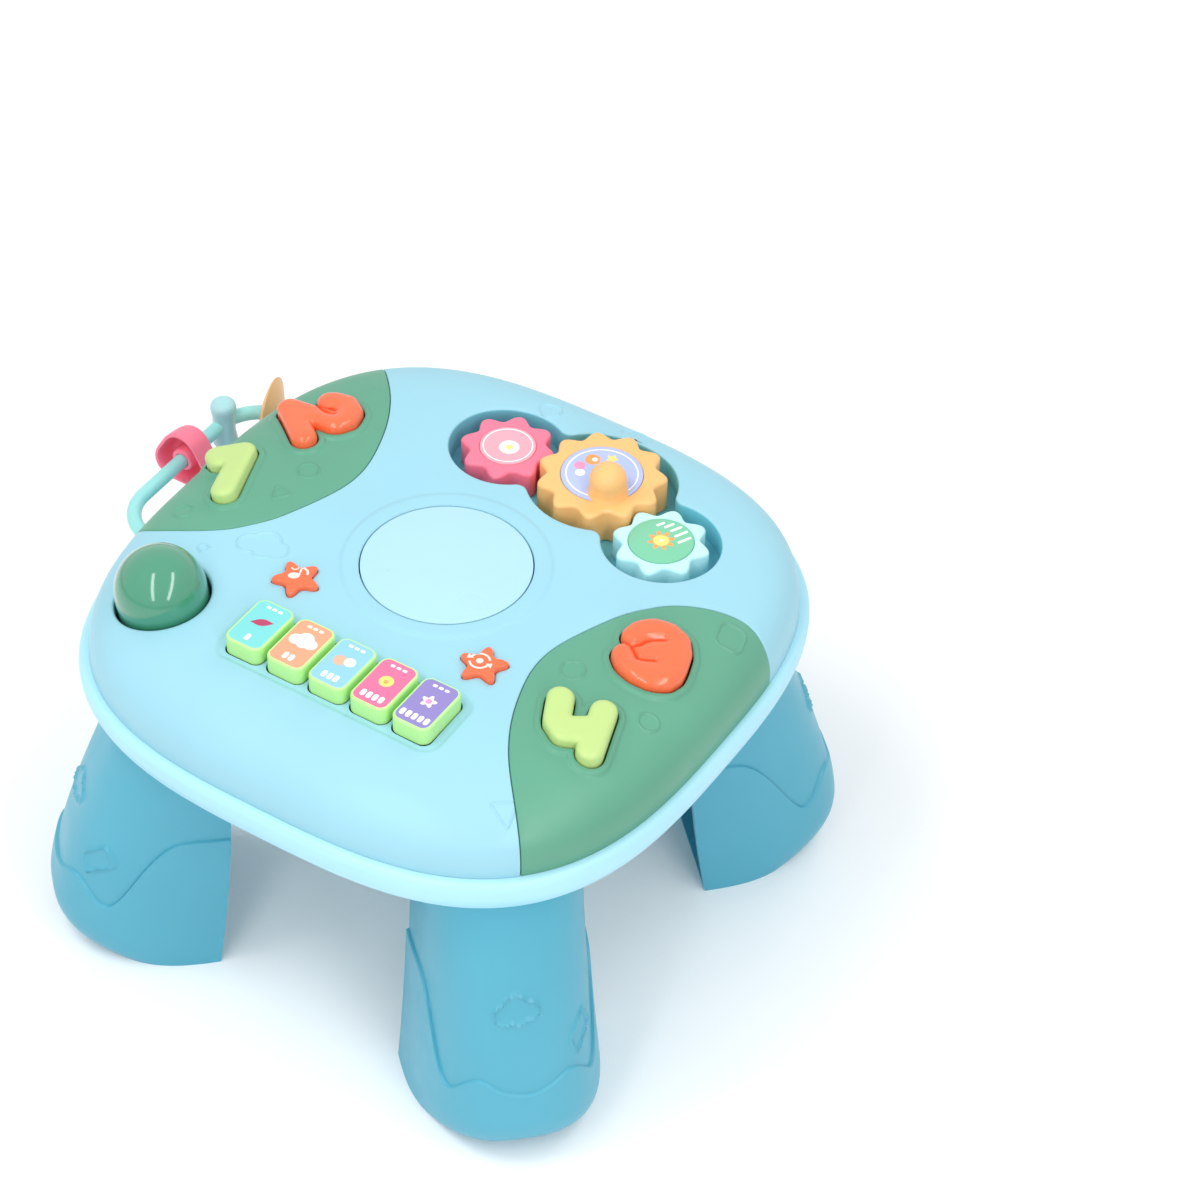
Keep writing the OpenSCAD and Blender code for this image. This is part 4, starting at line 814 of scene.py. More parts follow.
def top_skin():
    """Outer skin of the top shell, with its openings and the walls of the gear well."""
    cut = leaf_edge(LEAF_GAP)[::-1]
    edge = (cut - left_normals(cut, closed=False) * LEAF_LIP)[::-1]
    right_end, front_end = angle_of(edge[-1]), angle_of(edge[0])
    outer = np.vstack([
        border_arc(right_end, front_end + 180), -edge, border_arc(right_end - 180, front_end), edge])
    # openings as (unrolled outline, lip radius, wall depth, direction of the wall)
    up = np.array([0, 0, 1.0])
    openings = [
        (unroll(well_outline(0)), 1.6, GEAR_T + 1.5, up),
        (to_unrolled(DOME_PLACE, circle(DOME_R + DOME_GAP)), DOME_LIP, 12, DOME_PLACE.axes[2]),
        (unroll(circle(LENS_R + BUTTON_GAP)), 0.6, 8, up),
    ]
    tips = resample(star(STAR_R + BUTTON_GAP), 0.7)
    openings += [(unroll(moved(tips, side * STAR_X, STAR_Y, turn)), 0.5, 6, up)
                 for side, turn in STAR_TURN.items()]
    key_hole = resample(round_rect(KEY_W + 2 * BUTTON_GAP, KEY_L + 2 * BUTTON_GAP, KEY_CORNER), 0.8)
    openings += [(unroll(moved(key_hole, x, KEY_Y)), 0.35, 6, up) for x in KEY_AT]
    holes = [o - left_normals(o) * r for o, r, _, _ in openings]
    points = scatter(outer, holes, 3.2, 1.6)
    # rows of points where the relief is steep
    rings = [circle(r, 2.0) for r in (46, 48, 50.2, 51, 51.8, 52.6, 53.4, 54.2, 55)]
    tray = resample(KEY_TRAY, 1.6)
    tray_rows = [tray + left_normals(tray) * k for k in (-2.0, -1.3, -0.8, -0.4, 0, 0.4, 0.8, 1.3, 2.0)]
    fine = unroll(np.vstack([*rings, *tray_rows, motif_points(TOP_MOTIFS)]))
    fine = clear_of(fine, [outer, *holes], 0.5, holes)
    fine = fine[inside(fine, outer)]
    u, faces = fill(outer, holes, np.vstack([points, fine]))
    skin = dome(u)
    skin = skin + dome_normal(u) * top_height(skin[:, :2])[:, None]
    parts = [(skin, faces)]
    for number, (outline, r, depth, down) in enumerate(openings):
        lift = top_height(dome(outline)[:, :2])[:, None]
        rows = lip(outline, r, depth, down, lift=lift)
        parts.append((*grid(rows[:4], closed=True), 0))
        # the wall of the gear well, the first opening, is painted a darker teal as shade in the recess
        parts.append((*grid(rows[3:], closed=True), int(number == 0)))
    # edges of the leaf openings
    for spin in (1, -1):
        parts.append(grid(lip(cut * spin, LEAF_LIP, LEAF_WALL, dome_normal(cut * spin), closed=False)))
    # floor of the well, painted the same darker teal as shade
    floor, tri = fill(well_outline(0))
    parts.append((raised(floor, WELL_Z), tri, 1))
    solid("top_skin", parts, [SKY, WELL_SHADE], replaces=["top_shell"])


top_skin()


# ---- Leaf panels and numbers --------------------------------------------------

# Width of a stroke, height of a number over the panel and depth of its slits
STROKE_W, PROUD, SLIT = 13.8, 6.8, 4.0
RIM_W, RIM_H, RIM_REACH = 4.4, 1.4, 36
NUMBER_X = [27.4 - TOP_HALF, 43.4 - TOP_HALF, TOP_HALF - 41.2, TOP_HALF - 45.9]
NUMBER_Y = [-3.7, 58.1, 1.1, -61.3]
NUMBER_TURN = [18, -35, 0, 6]
NUMBER_PLACE = [on_dome(NUMBER_X[k], NUMBER_Y[k], NUMBER_TURN[k]) for k in range(4)]
STROKES = [
    [[(4.4, 16.8), (5.2, -16.6)], [(4, 16.8), (-8.4, 13)], [(4, 16.8), (-5.3, 9.4)]],
    [[(-9, 7.9), (-7.7, 10.4), (-2.8, 14.4), (4.2, 14.3), (9.2, 10.1), (9.8, 4.2), (-13.5, -12.6)],
     [(-11.5, -12.5), (13.6, -14.5)]],
    [[(-13.2, 5.1), (-12.3, 10.1), (-8.6, 14.6), (-2.1, 16.8), (4.8, 15), (9.1, 9.2)],
     [(-10.6, -8.2), (-6.4, -12), (0.3, -13.6), (7.3, -12.6), (11.8, -9.2), (13, -4), (11.7, 1.5),
      (9.1, 9.2)],
     [(-1.1, 2.2), (8.6, 8.9)], [(-7.6, -8.4), (0, -10.4), (8, -6.2), (11.3, 1.1)]],
    [[(-13.8, 12.1), (-9.2, -1), (-2.9, -5.6), (10, 0.6)], [(7.6, 15.4), (12.6, -9.2)],
     [(-1.9, -2.3), (7.2, 3.4)]],
]
# Lines along which strokes that meet stay apart
SLITS = [
    [],
    [[(-16, -1), (-9.7, 0.4), (-4.9, 1.1), (1.3, 2.9), (3.8, 5.5)]],
    [[(-18, -1.8), (-11, -2.6), (-8.1, 0.4), (-6, 5.5), (-0.1, 10.9)],
     [(-11, -2.6), (-6, -6.1), (-3.3, -7.4), (3.3, -3.7)]],
    [],
]
# Crown of each number: how far in it reaches its full height, its height at the edge and its exponent
CROWNS = [(4.2, 3.8, 2.0), (6.6, 1.8, 2.4), (6.6, 1.8, 2.4), (4.2, 3.8, 2.0)]
_outlines = {}


def number_outline(k, grow):
    """Outline of a number's strokes, grown on every side."""
    if (k, grow) not in _outlines:
        paths = [resample(np.array(p, float), 2.2, closed=False) for p in STROKES[k]]
        links = [band(p[i:i + 2], STROKE_W + 2 * grow, 14) for p in paths for i in range(len(p) - 1)]
        _outlines[k, grow] = soften(resample(union(links), 0.6), 2)
    return _outlines[k, grow]


def leaf_relief(points, first):
    """Raised rims round both numbers of a leaf, and its moulded motifs."""
    h = motif_height(points[:, :2], LEAF_MOTIFS[first])
    for k in (first, first + 1):
        local = NUMBER_PLACE[k].into(points)
        near = np.abs(local[:, :2]).max(1) < RIM_REACH
        d = np.full(len(points), FAR)
        d[near] = signed_distance(local[near][:, :2], number_outline(k, 0))
        h = np.maximum(h, RIM_H * (1 - step(d, RIM_W - 1.6, RIM_W + 0.6)))
    return h


def leaf_skin(name, first):
    """Outer skin of a leaf panel, with openings for its numbers."""
    spin = 1 if first == 2 else -1
    path = leaf_edge(0)
    edge = (path - left_normals(path, closed=False) * LEAF_LIP) * spin
    start, end = angle_of(edge[0]), angle_of(edge[-1])
    outer = np.vstack([edge[::-1], border_arc(start, end + (360 if end < start else 0))])
    pair = (first, first + 1)
    openings = [to_unrolled(NUMBER_PLACE[k], number_outline(k, BUTTON_GAP)) for k in pair]
    holes = [o - left_normals(o) * 0.5 for o in openings]
    # rows of points over the rims round the numbers
    rows = [to_unrolled(NUMBER_PLACE[k], number_outline(k, g))
            for k in pair for g in (1.8, 2.6, 3.1, 3.6, 4.1, 4.6, 5.1, 5.8)]
    fine = np.vstack([*rows, unroll(motif_points(LEAF_MOTIFS[first]))])
    fine = clear_of(fine, [outer, *holes], 0.5, holes)
    fine = fine[inside(fine, outer)]
    u, faces = fill(outer, holes, np.vstack([scatter(outer, holes, 2.6, 1.4), fine]))
    skin = dome(u)
    parts = [(skin + dome_normal(u) * leaf_relief(skin, first)[:, None], faces),
             grid(lip(path * spin, LEAF_LIP, LEAF_WALL, dome_normal(path * spin), closed=False))]
    for outline, k in zip(openings, pair):
        lift = leaf_relief(dome(outline), first)[:, None]
        parts.append(grid(lip(outline, 0.5, 7, NUMBER_PLACE[k].axes[2], lift=lift), closed=True))
    solid(name + "_skin", parts, [LEAF], replaces=[name])


def crown(e, full, edge, flat):
    """Height of a number over the distance e in from its outline: an ellipse-like crown."""
    t = np.clip(1 - e / full, 0, 1)
    return edge + (PROUD - edge) * (1 - t ** flat) ** (1 / flat)


def number_piece(k, material):
    """A balloon-like number: a crown over the distance to its outline and to its slits."""
    full, edge, flat = CROWNS[k]
    outline = number_outline(k, -0.02)
    slits = [smooth_path(p, 6) for p in SLITS[k]]
    insets = (0.12, 0.4, 0.8, 1.4, 2.1, 3, 4, 5)
    rows = [resample(number_outline(k, -e), 0.7) for e in insets]
    rows += [row for p in slits for row in (p, *(resample(band(p, 2 * e), 0.5) for e in insets[:5]))]
    points = np.vstack([*rows, scatter(outline, [], 0.8, 0.5)])
    xy, faces = fill(outline, (), clear_of(points[inside(points, outline)], [outline], 0.1))
    e = np.min([closed_distance(xy, outline), *(segment_distance(xy, p) for p in slits)], axis=0)
    z = np.maximum(crown(e, full, edge, flat), PROUD - SLIT)
    z[closed_distance(xy, outline) < 1e-3] = edge
    top = NUMBER_PLACE[k].out(np.column_stack([xy, z]))
    wall = grid([NUMBER_PLACE[k].out(raised(outline, h)) for h in (-7, -1, edge)], closed=True)
    name = "number_%d" % (k + 1)
    solid(name + "_button", [(top, faces), wall], [material], body=name, replaces=[name])


leaf_skin("left_leaf_panel", 0)
leaf_skin("right_leaf_panel", 2)
for number, number_material in enumerate((YELLOW_GREEN, ORANGE, ORANGE, YELLOW_GREEN)):
    number_piece(number, number_material)


# ---- Base, legs ---------------------------------------------------------------

RIM_SECTION = [(-40, 0), (-14, 0), (-11.5, 0), (-4.5, 1.9), (1.2, 8.4), (4.2, 15.5), (4.9, 21.6), (4.3, 24.8),
               (2.3, PART_Z - BASE_Z - 0.3), (-3.1, PART_Z - BASE_Z - 0.3)]
SCREW_AT = [(-62, -124), (74, -118), (-64, 28), (64, 26), (-66, 128), (116, 112), (0, 147)]
DOOR = moved(round_rect(66.5, 66.5, 4), 0, 52)
SLOT = moved(round_rect(13.2, 5.8, 0.6, 3), 72, -44)
GRILLE_AT, GRILLE_GAP = (-8, -34), 5.4


def base_skin():
    """Rounded rim of the base and its underside, with the holes for screws, door, switch and speaker."""
    section = smooth_path(RIM_SECTION, 7)
    section = section[section[:, 0] > -20]
    rows = np.array([raised(plan_ring(TOP_HALF + d), BASE_Z + z) for d, z in section])
    outer = rows[0][:, :2]
    x, y = GRILLE_AT
    grille = [circle(1.3, 0.5, GRILLE_AT)] + [
        circle(1.3, 0.5, (x + GRILLE_GAP * r * np.cos(a), y + GRILLE_GAP * r * np.sin(a)))
        for r in (1, 2, 3) for a in np.arange(6 * r) * 2 * np.pi / (6 * r)]
    screws = [circle(3.2, 0.8, p) for p in SCREW_AT if plan_norm(np.array([p]))[0] < TOP_HALF - 24]
    holes = [DOOR, SLOT, *screws, *grille]
    xy, faces = fill(outer, holes, scatter(outer, holes, 9, 3))
    parts = [(raised(xy, BASE_Z), faces[:, ::-1]), grid(rows, closed=True)]
    for hole in holes:
        parts.append(grid([raised(hole, BASE_Z + h) for h in (0, 2.6)], closed=True, flip=True))
    solid("base_skin", parts, [PALE], replaces=["base_shell"])


CORNER = TOP_HALF / (2 * 0.5 ** (PLAN_N / 2)) ** (1 / PLAN_N)
OUT_FOOT, OUT_TOP = CORNER + 28, CORNER - 14
IN_FOOT, IN_TOP = CORNER - 50.5, CORNER - 62
LEG_TOP = BASE_Z - 0.1
HALF_FOOT, HALF_TOP = 48.8, 41.0
LEG_WALL = 3.0
SQUARE = 2 / 2.7
BULGE_Z, TUCK = 26.0, 20.0
# Height of the boot's edge by the angle from the middle of the leg's face
BOOT = np.array([(0, 45), (10, 48), (22, 54), (34, 49), (44, 39), (50, 36), (56, 44), (62, 62), (68, 78),
                 (76, 84), (90, 82)], float)
# How far the boot stands out, and the step at its edge as (height from the edge, how far out)
BOOT_OUT = 1.5
BOOT_STEP = [(-0.5, 1.5), (-0.1, 1.4), (0.15, 1.0), (0.3, 0.4), (0.5, 0.0)]
LEG_TURN = {"leg_front_left": 225, "leg_front_right": 315, "leg_rear_left": 135, "leg_rear_right": 45}


def leg_point(a, z, grow):
    """Point of a leg's C-section: a squarish half ellipse whose depth and width follow the height."""
    up = np.clip((z - BULGE_Z) / (LEG_TOP - BULGE_Z), 0, 1) ** 1.4
    down = np.clip((BULGE_Z - z) / BULGE_Z, 0, 1) ** 2.4
    low = np.clip(1 - z / LEG_TOP, 0, 1) ** 2.2
    inner = IN_TOP + (IN_FOOT - IN_TOP) * low
    depth = OUT_FOOT - (OUT_FOOT - OUT_TOP) * up - TUCK * down - inner + grow
    half = HALF_TOP + (HALF_FOOT - HALF_TOP) * low + grow
    c, s = np.cos(a * RAD), np.sin(a * RAD)
    out, side = np.maximum(c, 0) ** SQUARE, np.sign(s) * np.abs(s) ** SQUARE
    return np.stack([inner + depth * out, half * side, z], -1)


# Motifs on the face of a leg, by the way across it and the height
LEG_MOTIFS = [moved(cloud_outline(12), -3, 90, 6),
              moved(polygon_outline(8, 4, 0, 12) * [0.75, 1.3], 29, 67, -12)]


def leg_skin(name):
    """A leg: its boot with a stepped edge, smooth above but for its motifs, and hollow behind."""
    t = np.linspace(-1, 1, 181)
    a = 90 * np.sign(t) * np.abs(t) ** 1.35
    border = np.interp(np.abs(a), BOOT[:, 0], BOOT[:, 1])
    border = np.convolve(np.pad(border, 6, "edge"), np.ones(13) / 13, "valid")
    rows = [(border * v, BOOT_OUT) for v in np.linspace(0, 1, 34)[:-1]]
    rows += [(border + above, out) for above, out in BOOT_STEP]
    rows += [(border + 0.5 + (LEG_TOP - border - 0.5) * v, 0.0) for v in np.linspace(0, 1, 90)[1:]]
    outside = []
    for z, grow in rows:
        face = leg_point(a, z, grow)
        marks = 2 * motif_height(face[:, 1:], LEG_MOTIFS)
        outside.append(leg_point(a, z, grow + marks) if marks.any() else face)
    outside = np.array(outside)
    within = np.array([leg_point(a, np.full_like(a, max(z, LEG_WALL)), -LEG_WALL)
                       for z in outside[:, 0, 2]])
    ring = np.arange(len(a))[None]
    front = np.array([outside[0, 0], within[0, 0], within[0, -1], outside[0, -1]])
    parts = [grid(outside), grid(within, flip=True), grid([outside[-1], within[-1]]),
             grid([outside[:, 0], within[:, 0]]), grid([outside[:, -1], within[:, -1]], flip=True),
             (outside[0], ring[:, ::-1]), (within[0], ring), (front, np.arange(4)[None])]
    solid(name + "_skin", lifted(parts, standing(0, 0, 0, LEG_TURN[name])), [TEAL], replaces=[name],
          sharp=50)


base_skin()
for leg_name in LEG_TURN:
    leg_skin(leg_name)


# ---- Keys, stars, lens and dome button ----------------------------------------

def painted(outer, layers, z):
    """Flat face at height z inside an outline.

    Layers of (outline, material number) colour it, the last one on top.
    """
    rings = [outer] + [outline for outline, _ in layers]
    ends = np.cumsum([0] + [len(r) for r in rings])
    edges = [(i, i + 1 if i + 1 < ends[k + 1] else int(ends[k])) for k in range(1, len(rings))
             for i in range(int(ends[k]), int(ends[k + 1]))]
    found, _, faces, _, _, origin = delaunay_2d_cdt(
        [Vector(c) for c in np.vstack(rings).tolist()], edges, [list(range(ends[1]))], 1, 1e-7)
    xy, tri = facing_up(found, [f for f, source in zip(faces, origin) if source])
    middle = xy[tri].mean(1)
    colour = np.zeros(len(tri), int)
    for outline, number in layers:
        colour[inside(middle, outline)] = number
    return [(raised(xy, z), tri[colour == number], number) for number in np.unique(colour)]


def ring_layers(outline, width, number, ground):
    """Two layers that leave a line of the width along an outline."""
    middle = outline.mean(0)
    inner = outline - middle
    return [(outline, number), (middle + inner * (1 - width / np.abs(inner).max()), ground)]


def rounded_edge(outline_at, top, radius, bottom, steps=6):
    """Rows of a button: up its side and over a quarter circle; outline_at(inset) gives its outline."""
    rows = [raised(outline_at(0), bottom), raised(outline_at(0), (bottom + top - radius) / 2)]
    for a in np.linspace(0, 90, steps + 1) * RAD:
        rows.append(raised(outline_at(radius * (1 - np.cos(a))), top - radius * (1 - np.sin(a))))
    return np.array(rows)


def flower(radius, petals, turn):
    """Outline of a flower with round petals."""
    return wavy(radius * 0.78, petals, radius * 0.22, turn)


def leaf_outline(length, width):
    """Outline of a leaf with both ends pointed: its width follows a squared cosine."""
    x = np.linspace(-1, 1, 25)
    half = width * np.cos(x * np.pi / 2) ** 1.3
    return np.vstack([np.column_stack([x * length, -half]), np.column_stack([x * length, half])[-2:0:-1]])


# What a key may be printed in, after its own colour and its film's
KEY_INKS = [PRINT_WHITE, PRINT_CRIMSON, PRINT_TAN, PRINT_YELLOW, PRINT_ORANGE, PRINT_PINK]
# Plain shape in the middle of each key, as (outline, material number)
KEY_SHAPES = [
    [(spun(leaf_outline(6.2, 2.4), 24), 3)],
    [(cloud_outline(8.4), 2)],
    [(circle(3.6, 0.4, (-2.4, -0.4)), 4), (circle(3.0, 0.4, (2.6, 0.8)), 2)],
    [(circle(3.7, 0.4), 5), (circle(1.3, 0.4, (0, -0.4)), 6)],
    [(flower(4.2, 5, 18), 2), (circle(1.7, 0.4), 7)],
]
FILM_IN = 0.12
DASH_Y, SHAPE_Y, PIP_Y, MARK_PITCH = 12.2, 1.6, -10.4, 3.4


def key_piece(k):
    """A piano key with a coloured film on its top.

    The film has three dashes, a plain shape and as many pips as the key's place in the row.
    """
    soft = 1.1

    def outline(inset):
        """Outline of the key, drawn in."""
        return round_rect(KEY_W - 2 * inset, KEY_L - 2 * inset, KEY_CORNER - inset * 0.9, 10)

    rows = rounded_edge(outline, KEY_TOP, soft, KEY_TOP - 10)
    dash, pip = round_rect(2.4, 1.7, 0.6, 3), round_rect(2.5, 4.6, 1.2, 4)
    layers = [(outline(soft + FILM_IN), 1)]
    layers += [(dash + [(j - 1) * MARK_PITCH, DASH_Y], 2) for j in range(3)]
    layers += [(pip + [(j - k / 2) * MARK_PITCH, PIP_Y], 2) for j in range(k + 1)]
    layers += [(shape + [0, SHAPE_Y], number) for shape, number in KEY_SHAPES[k]]
    parts = [grid(rows, closed=True), *painted(rows[-1][:, :2], layers, KEY_TOP)]
    name = "key_%d" % (k + 1)
    solid(name + "_button", lifted(parts, standing(KEY_AT[k], KEY_Y)), [LIME, KEY_FILMS[k], *KEY_INKS],
          body=name, replaces=[name])


def note_layers():
    """A quaver: oval head, stem and flag, with a small arc above."""
    a = np.linspace(0, 2 * np.pi, 40, endpoint=False)
    head = np.column_stack([-1.5 + 3.1 * np.cos(a), 0.9 + 2.3 * np.sin(a)])
    stem = band(smooth_path([(1.0, 1.0), (2.0, 4.4), (2.8, 7.2)], 4), 1.0)
    flag = band(smooth_path([(2.8, 7.0), (4.4, 5.8), (5.6, 4.2), (5.6, 1.8)], 4), 1.3)
    small = band(arc(1.9, 200, 340, 10, (-0.9, 7.4)), 0.8)
    return [head, stem, flag, small]


def turn_layers():
    """Two arcs that chase each other round a dot, each with a pointed head."""
    shapes = [circle(1.9, 0.4)]
    head = np.array([(-5.4, 5.6), (-2.9, 2.2), (-6.6, 2.3)])
    for spin in (0, 180):
        shapes += [band(arc(5.2, spin + 5, spin + 145, 24), 1.2), resample(spun(head, spin), 0.4)]
    return [shape + [-1.6, 1.8] for shape in shapes]


def star_piece(side):
    """A star button with a sign printed on its top, the left one for side -1 and the right one for 1."""
    top, soft, turn = cad_box("star_left")[1][2], 1.4, STAR_TURN[side]

    def outline(inset):
        """Outline of the star, drawn in."""
        return star(STAR_R + 0.3 - inset, 0, 240)

    rows = rounded_edge(outline, top, soft, top - 8)
    name, shapes = ("star_left", note_layers()) if side < 0 else ("star_right", turn_layers())
    layers = [(spun(shape * 0.95, VIEW_AZIMUTH - turn), 1) for shape in shapes]
    place = standing(side * STAR_X, STAR_Y, 0, turn)
    parts = lifted([grid(rows, closed=True), *painted(rows[-1][:, :2], layers, top)], place)
    solid(name + "_button", parts, [ORANGE, PRINT_BLUSH], body=name, replaces=[name])


def lens_piece():
    """Slightly domed milky lens with a rounded edge."""
    top = cad_box("light_lens")[1][2]
    sag = 3.2
    big = (LENS_R ** 2 + sag ** 2) / (2 * sag)
    r = np.concatenate([[LENS_R, LENS_R, LENS_R - 0.1, LENS_R - 0.5], np.linspace(LENS_R - 1.2, 0, 40)])
    z = top - big + np.sqrt(big ** 2 - r ** 2)
    z[:4] = [top - 10, z[0] - 0.7, z[0] - 0.2, z[0] - 0.02]
    solid("lens", [lathe(np.column_stack([r, z]), 160)], [LENS], body="light_lens",
          replaces=["light_lens"])


def dome_piece():
    """Glossy egg-like button: radius R sin(t)^0.94 and height H cos(t)^0.9 for t from hem to crown."""
    t = np.linspace(90, 0, 60) * RAD
    egg = np.column_stack([DOME_R * np.sin(t) ** 0.94, DOME_TOP * np.abs(np.cos(t)) ** 0.9])
    points, faces = lathe(np.vstack([[(DOME_R, -7), (DOME_R, -3)], egg]), 160)
    solid("dome", [(DOME_PLACE.out(points), faces)], [DOME_GREEN], body="dome_button",
          replaces=["dome_button"])


for key_number in range(len(KEY_AT)):
    key_piece(key_number)
star_piece(-1)
star_piece(1)
lens_piece()
dome_piece()


# ---- Gears --------------------------------------------------------------------

INSERT_R = [14.5, 21.0, 16.5]
GEAR_LIFT = [0, MIDDLE_LIFT, 0]
SEAT_GAP, SEAT_R = 0.9, 0.8
KNOB_R, KNOB_OUT, KNOB_TURN, KNOB_H, KNOB_SUNK = 9.6, 14.0, -46, 17.5, 1.4
GEAR_NAMES = ["gear_left", "gear_middle", "gear_right"]


def knob(top):
    """The turning knob on the middle gear: a flared post with a round head and a sunken foot."""
    high = KNOB_H + KNOB_SUNK
    profile = smooth_path([(KNOB_R + 1.6, 0), (KNOB_R + 0.9, 1.6), (KNOB_R + 0.2, 4.0),
                           (KNOB_R - 0.1, high - KNOB_R - 0.6)], 8)
    head = arc(KNOB_R, 0, 90, 16, (0, high - KNOB_R))
    x = GEAR_AT[1][0] + KNOB_OUT * np.cos(KNOB_TURN * RAD)
    y = GEAR_AT[1][1] + KNOB_OUT * np.sin(KNOB_TURN * RAD)
    return lifted([lathe(np.vstack([profile[:-1], head]), 64)], standing(x, y, top - KNOB_SUNK))[0]


def gear_piece(k, material):
    """A wavy gear with rounded edges and a shallow seat for its disc; the middle one has a turning knob."""
    top, soft = GEAR_TOP + GEAR_LIFT[k], 2.2
    pitch = PITCH[k] - TOOTH_SLACK / 2

    def outline(inset):
        """Outline of the wheel, drawn in."""
        return wavy(pitch - inset, GEAR_TEETH[k], TOOTH_H * (1 - 0.07 * inset), GEAR_TURN[k])

    def ring(radius):
        """Circle with as many points as the wheel's outline."""
        return wavy(radius, 0, 0, 0)

    rows = list(rounded_edge(outline, top, soft, WELL_Z + 0.6))
    seat, last = INSERT_R[k] + SEAT_GAP, rows[-1][:, :2]
    rows += [raised(last + (ring(seat) - last) * v, top) for v in (0.25, 0.5, 0.75, 1)]
    rows += [raised(ring(seat - SEAT_R * np.sin(a)), top - SEAT_R * (1 - np.cos(a)))
             for a in (30 * RAD, 60 * RAD, 90 * RAD)]
    parts = lifted([grid(rows, closed=True)], standing(*GEAR_AT[k]))
    if k == 1:
        parts.append(knob(top))
    solid(GEAR_NAMES[k] + "_wheel", parts, [material], body=GEAR_NAMES[k], replaces=[GEAR_NAMES[k]])


def insert_piece(k, materials):
    """Printed disc on a gear: a ring and a flower, dots and a star, or bars and a flower."""
    top = GEAR_TOP + GEAR_LIFT[k] + 0.3
    r = INSERT_R[k]
    body = lathe([(r, top - 1.5), (r, top - 0.5), (r - 0.1, top - 0.2), (r - 0.4, top)], 144)
    outer = circle(r - 0.4, 2 * np.pi * (r - 0.4) / 144.001)
    if k == 0:
        layers = [*ring_layers(circle(r - 1.5, 0.6), 0.6, 1, 0), (circle(5.2, 0.5, (1.4, -0.8)), 1),
                  (flower(2.4, 5, 10) + [1.4, -0.8], 2)]
    elif k == 1:
        layers = [*ring_layers(circle(r - 2.4, 0.6), 0.7, 1, 0), (circle(4.0, 0.5, (-9.6, 6.4)), 3),
                  (circle(3.0, 0.5, (-12.6, -1.0)), 4), (circle(2.6, 0.5, (-9.6, -5.6)), 1),
                  (moved(star(3.2, 90, 80), -1.6, 12.4), 2), (circle(1.5, 0.4, (-8.6, 7.0)), 1)]
    else:
        layers = [(moved(round_rect(1.5, n, 0.7, 3), x, y, -26), 1)
                  for x, y, n in ((-6.6, 10.2, 5), (-2.4, 11.6, 6), (1.8, 11.4, 7), (5.8, 9.6, 8),
                                  (9.6, 6.6, 8))]
        layers += [(flower(7.2, 8, 0), 2), (circle(4.0, 0.4), 3), (circle(1.0, 0.3), 1)]
    place = standing(*GEAR_AT[k])
    solid(GEAR_NAMES[k] + "_disc", lifted([body, *painted(outer, layers, top)], place), materials,
          body=GEAR_NAMES[k], replaces=[GEAR_NAMES[k] + "_insert"])


for gear_number, gear_material in enumerate((ROSE, SAND, GEAR_MINT)):
    gear_piece(gear_number, gear_material)
insert_piece(0, [FILM_ROSE, PRINT_WHITE, PRINT_YELLOW])
insert_piece(1, [FILM_LILAC, PRINT_WHITE, PRINT_YELLOW, PRINT_ORANGE, PRINT_PINK])
insert_piece(2, [FILM_GREEN, PRINT_WHITE, PRINT_ORANGE, PRINT_YELLOW])


# ---- Rail and beads -----------------------------------------------------------

RAIL_R, RAIL_BEND = 3.9, 25.0
RAIL_X, RAIL_Z, RAIL_MID, RAIL_SPAN = -(TOP_HALF + 31.0), PART_Z - 12.0, 33.5, 117.0
STRAIGHT = RAIL_SPAN - 2 * RAIL_BEND
# Middles of the bends, and where the beads on the rear one sit round it, in degrees
BEND_X, BEND_NEAR, BEND_FAR = RAIL_X + RAIL_BEND, RAIL_MID - STRAIGHT / 2, RAIL_MID + STRAIGHT / 2
SPOOL_AT, DISC_AT = 172, 108
BELL_Y, BELL_R = 48.5, 16.5
SPOOL_HALF = 15.6
DISC_R, DISC_HALF = 20.0, 5.0


def at_bend(a):
    """Place on the rear bend, with its third axis along the rail."""
    c, s = np.cos(a * RAD), np.sin(a * RAD)
    return Turned((BEND_X + RAIL_BEND * c, BEND_FAR + RAIL_BEND * s, RAIL_Z),
                  [(c, s, 0), (0, 0, -1), (-s, c, 0)])


def rail_piece():
    """Bent tube whose ends go into the rim."""
    near = arc(RAIL_BEND, 270, 180, 24, (BEND_X, BEND_NEAR))
    far = arc(RAIL_BEND, 180, 90, 24, (BEND_X, BEND_FAR))
    inner = -TOP_HALF + 12
    straight = np.linspace(near[-1], far[0], 24)[1:-1]
    path = np.vstack([np.linspace((inner, near[0][1]), near[0], 8)[:-1], near, straight, far,
                      np.linspace(far[-1], (inner, far[-1][1]), 8)[1:]])
    solid("rail", [tube(raised(path, RAIL_Z), RAIL_R, 40)], [MINT], replaces=["rail_tube"])


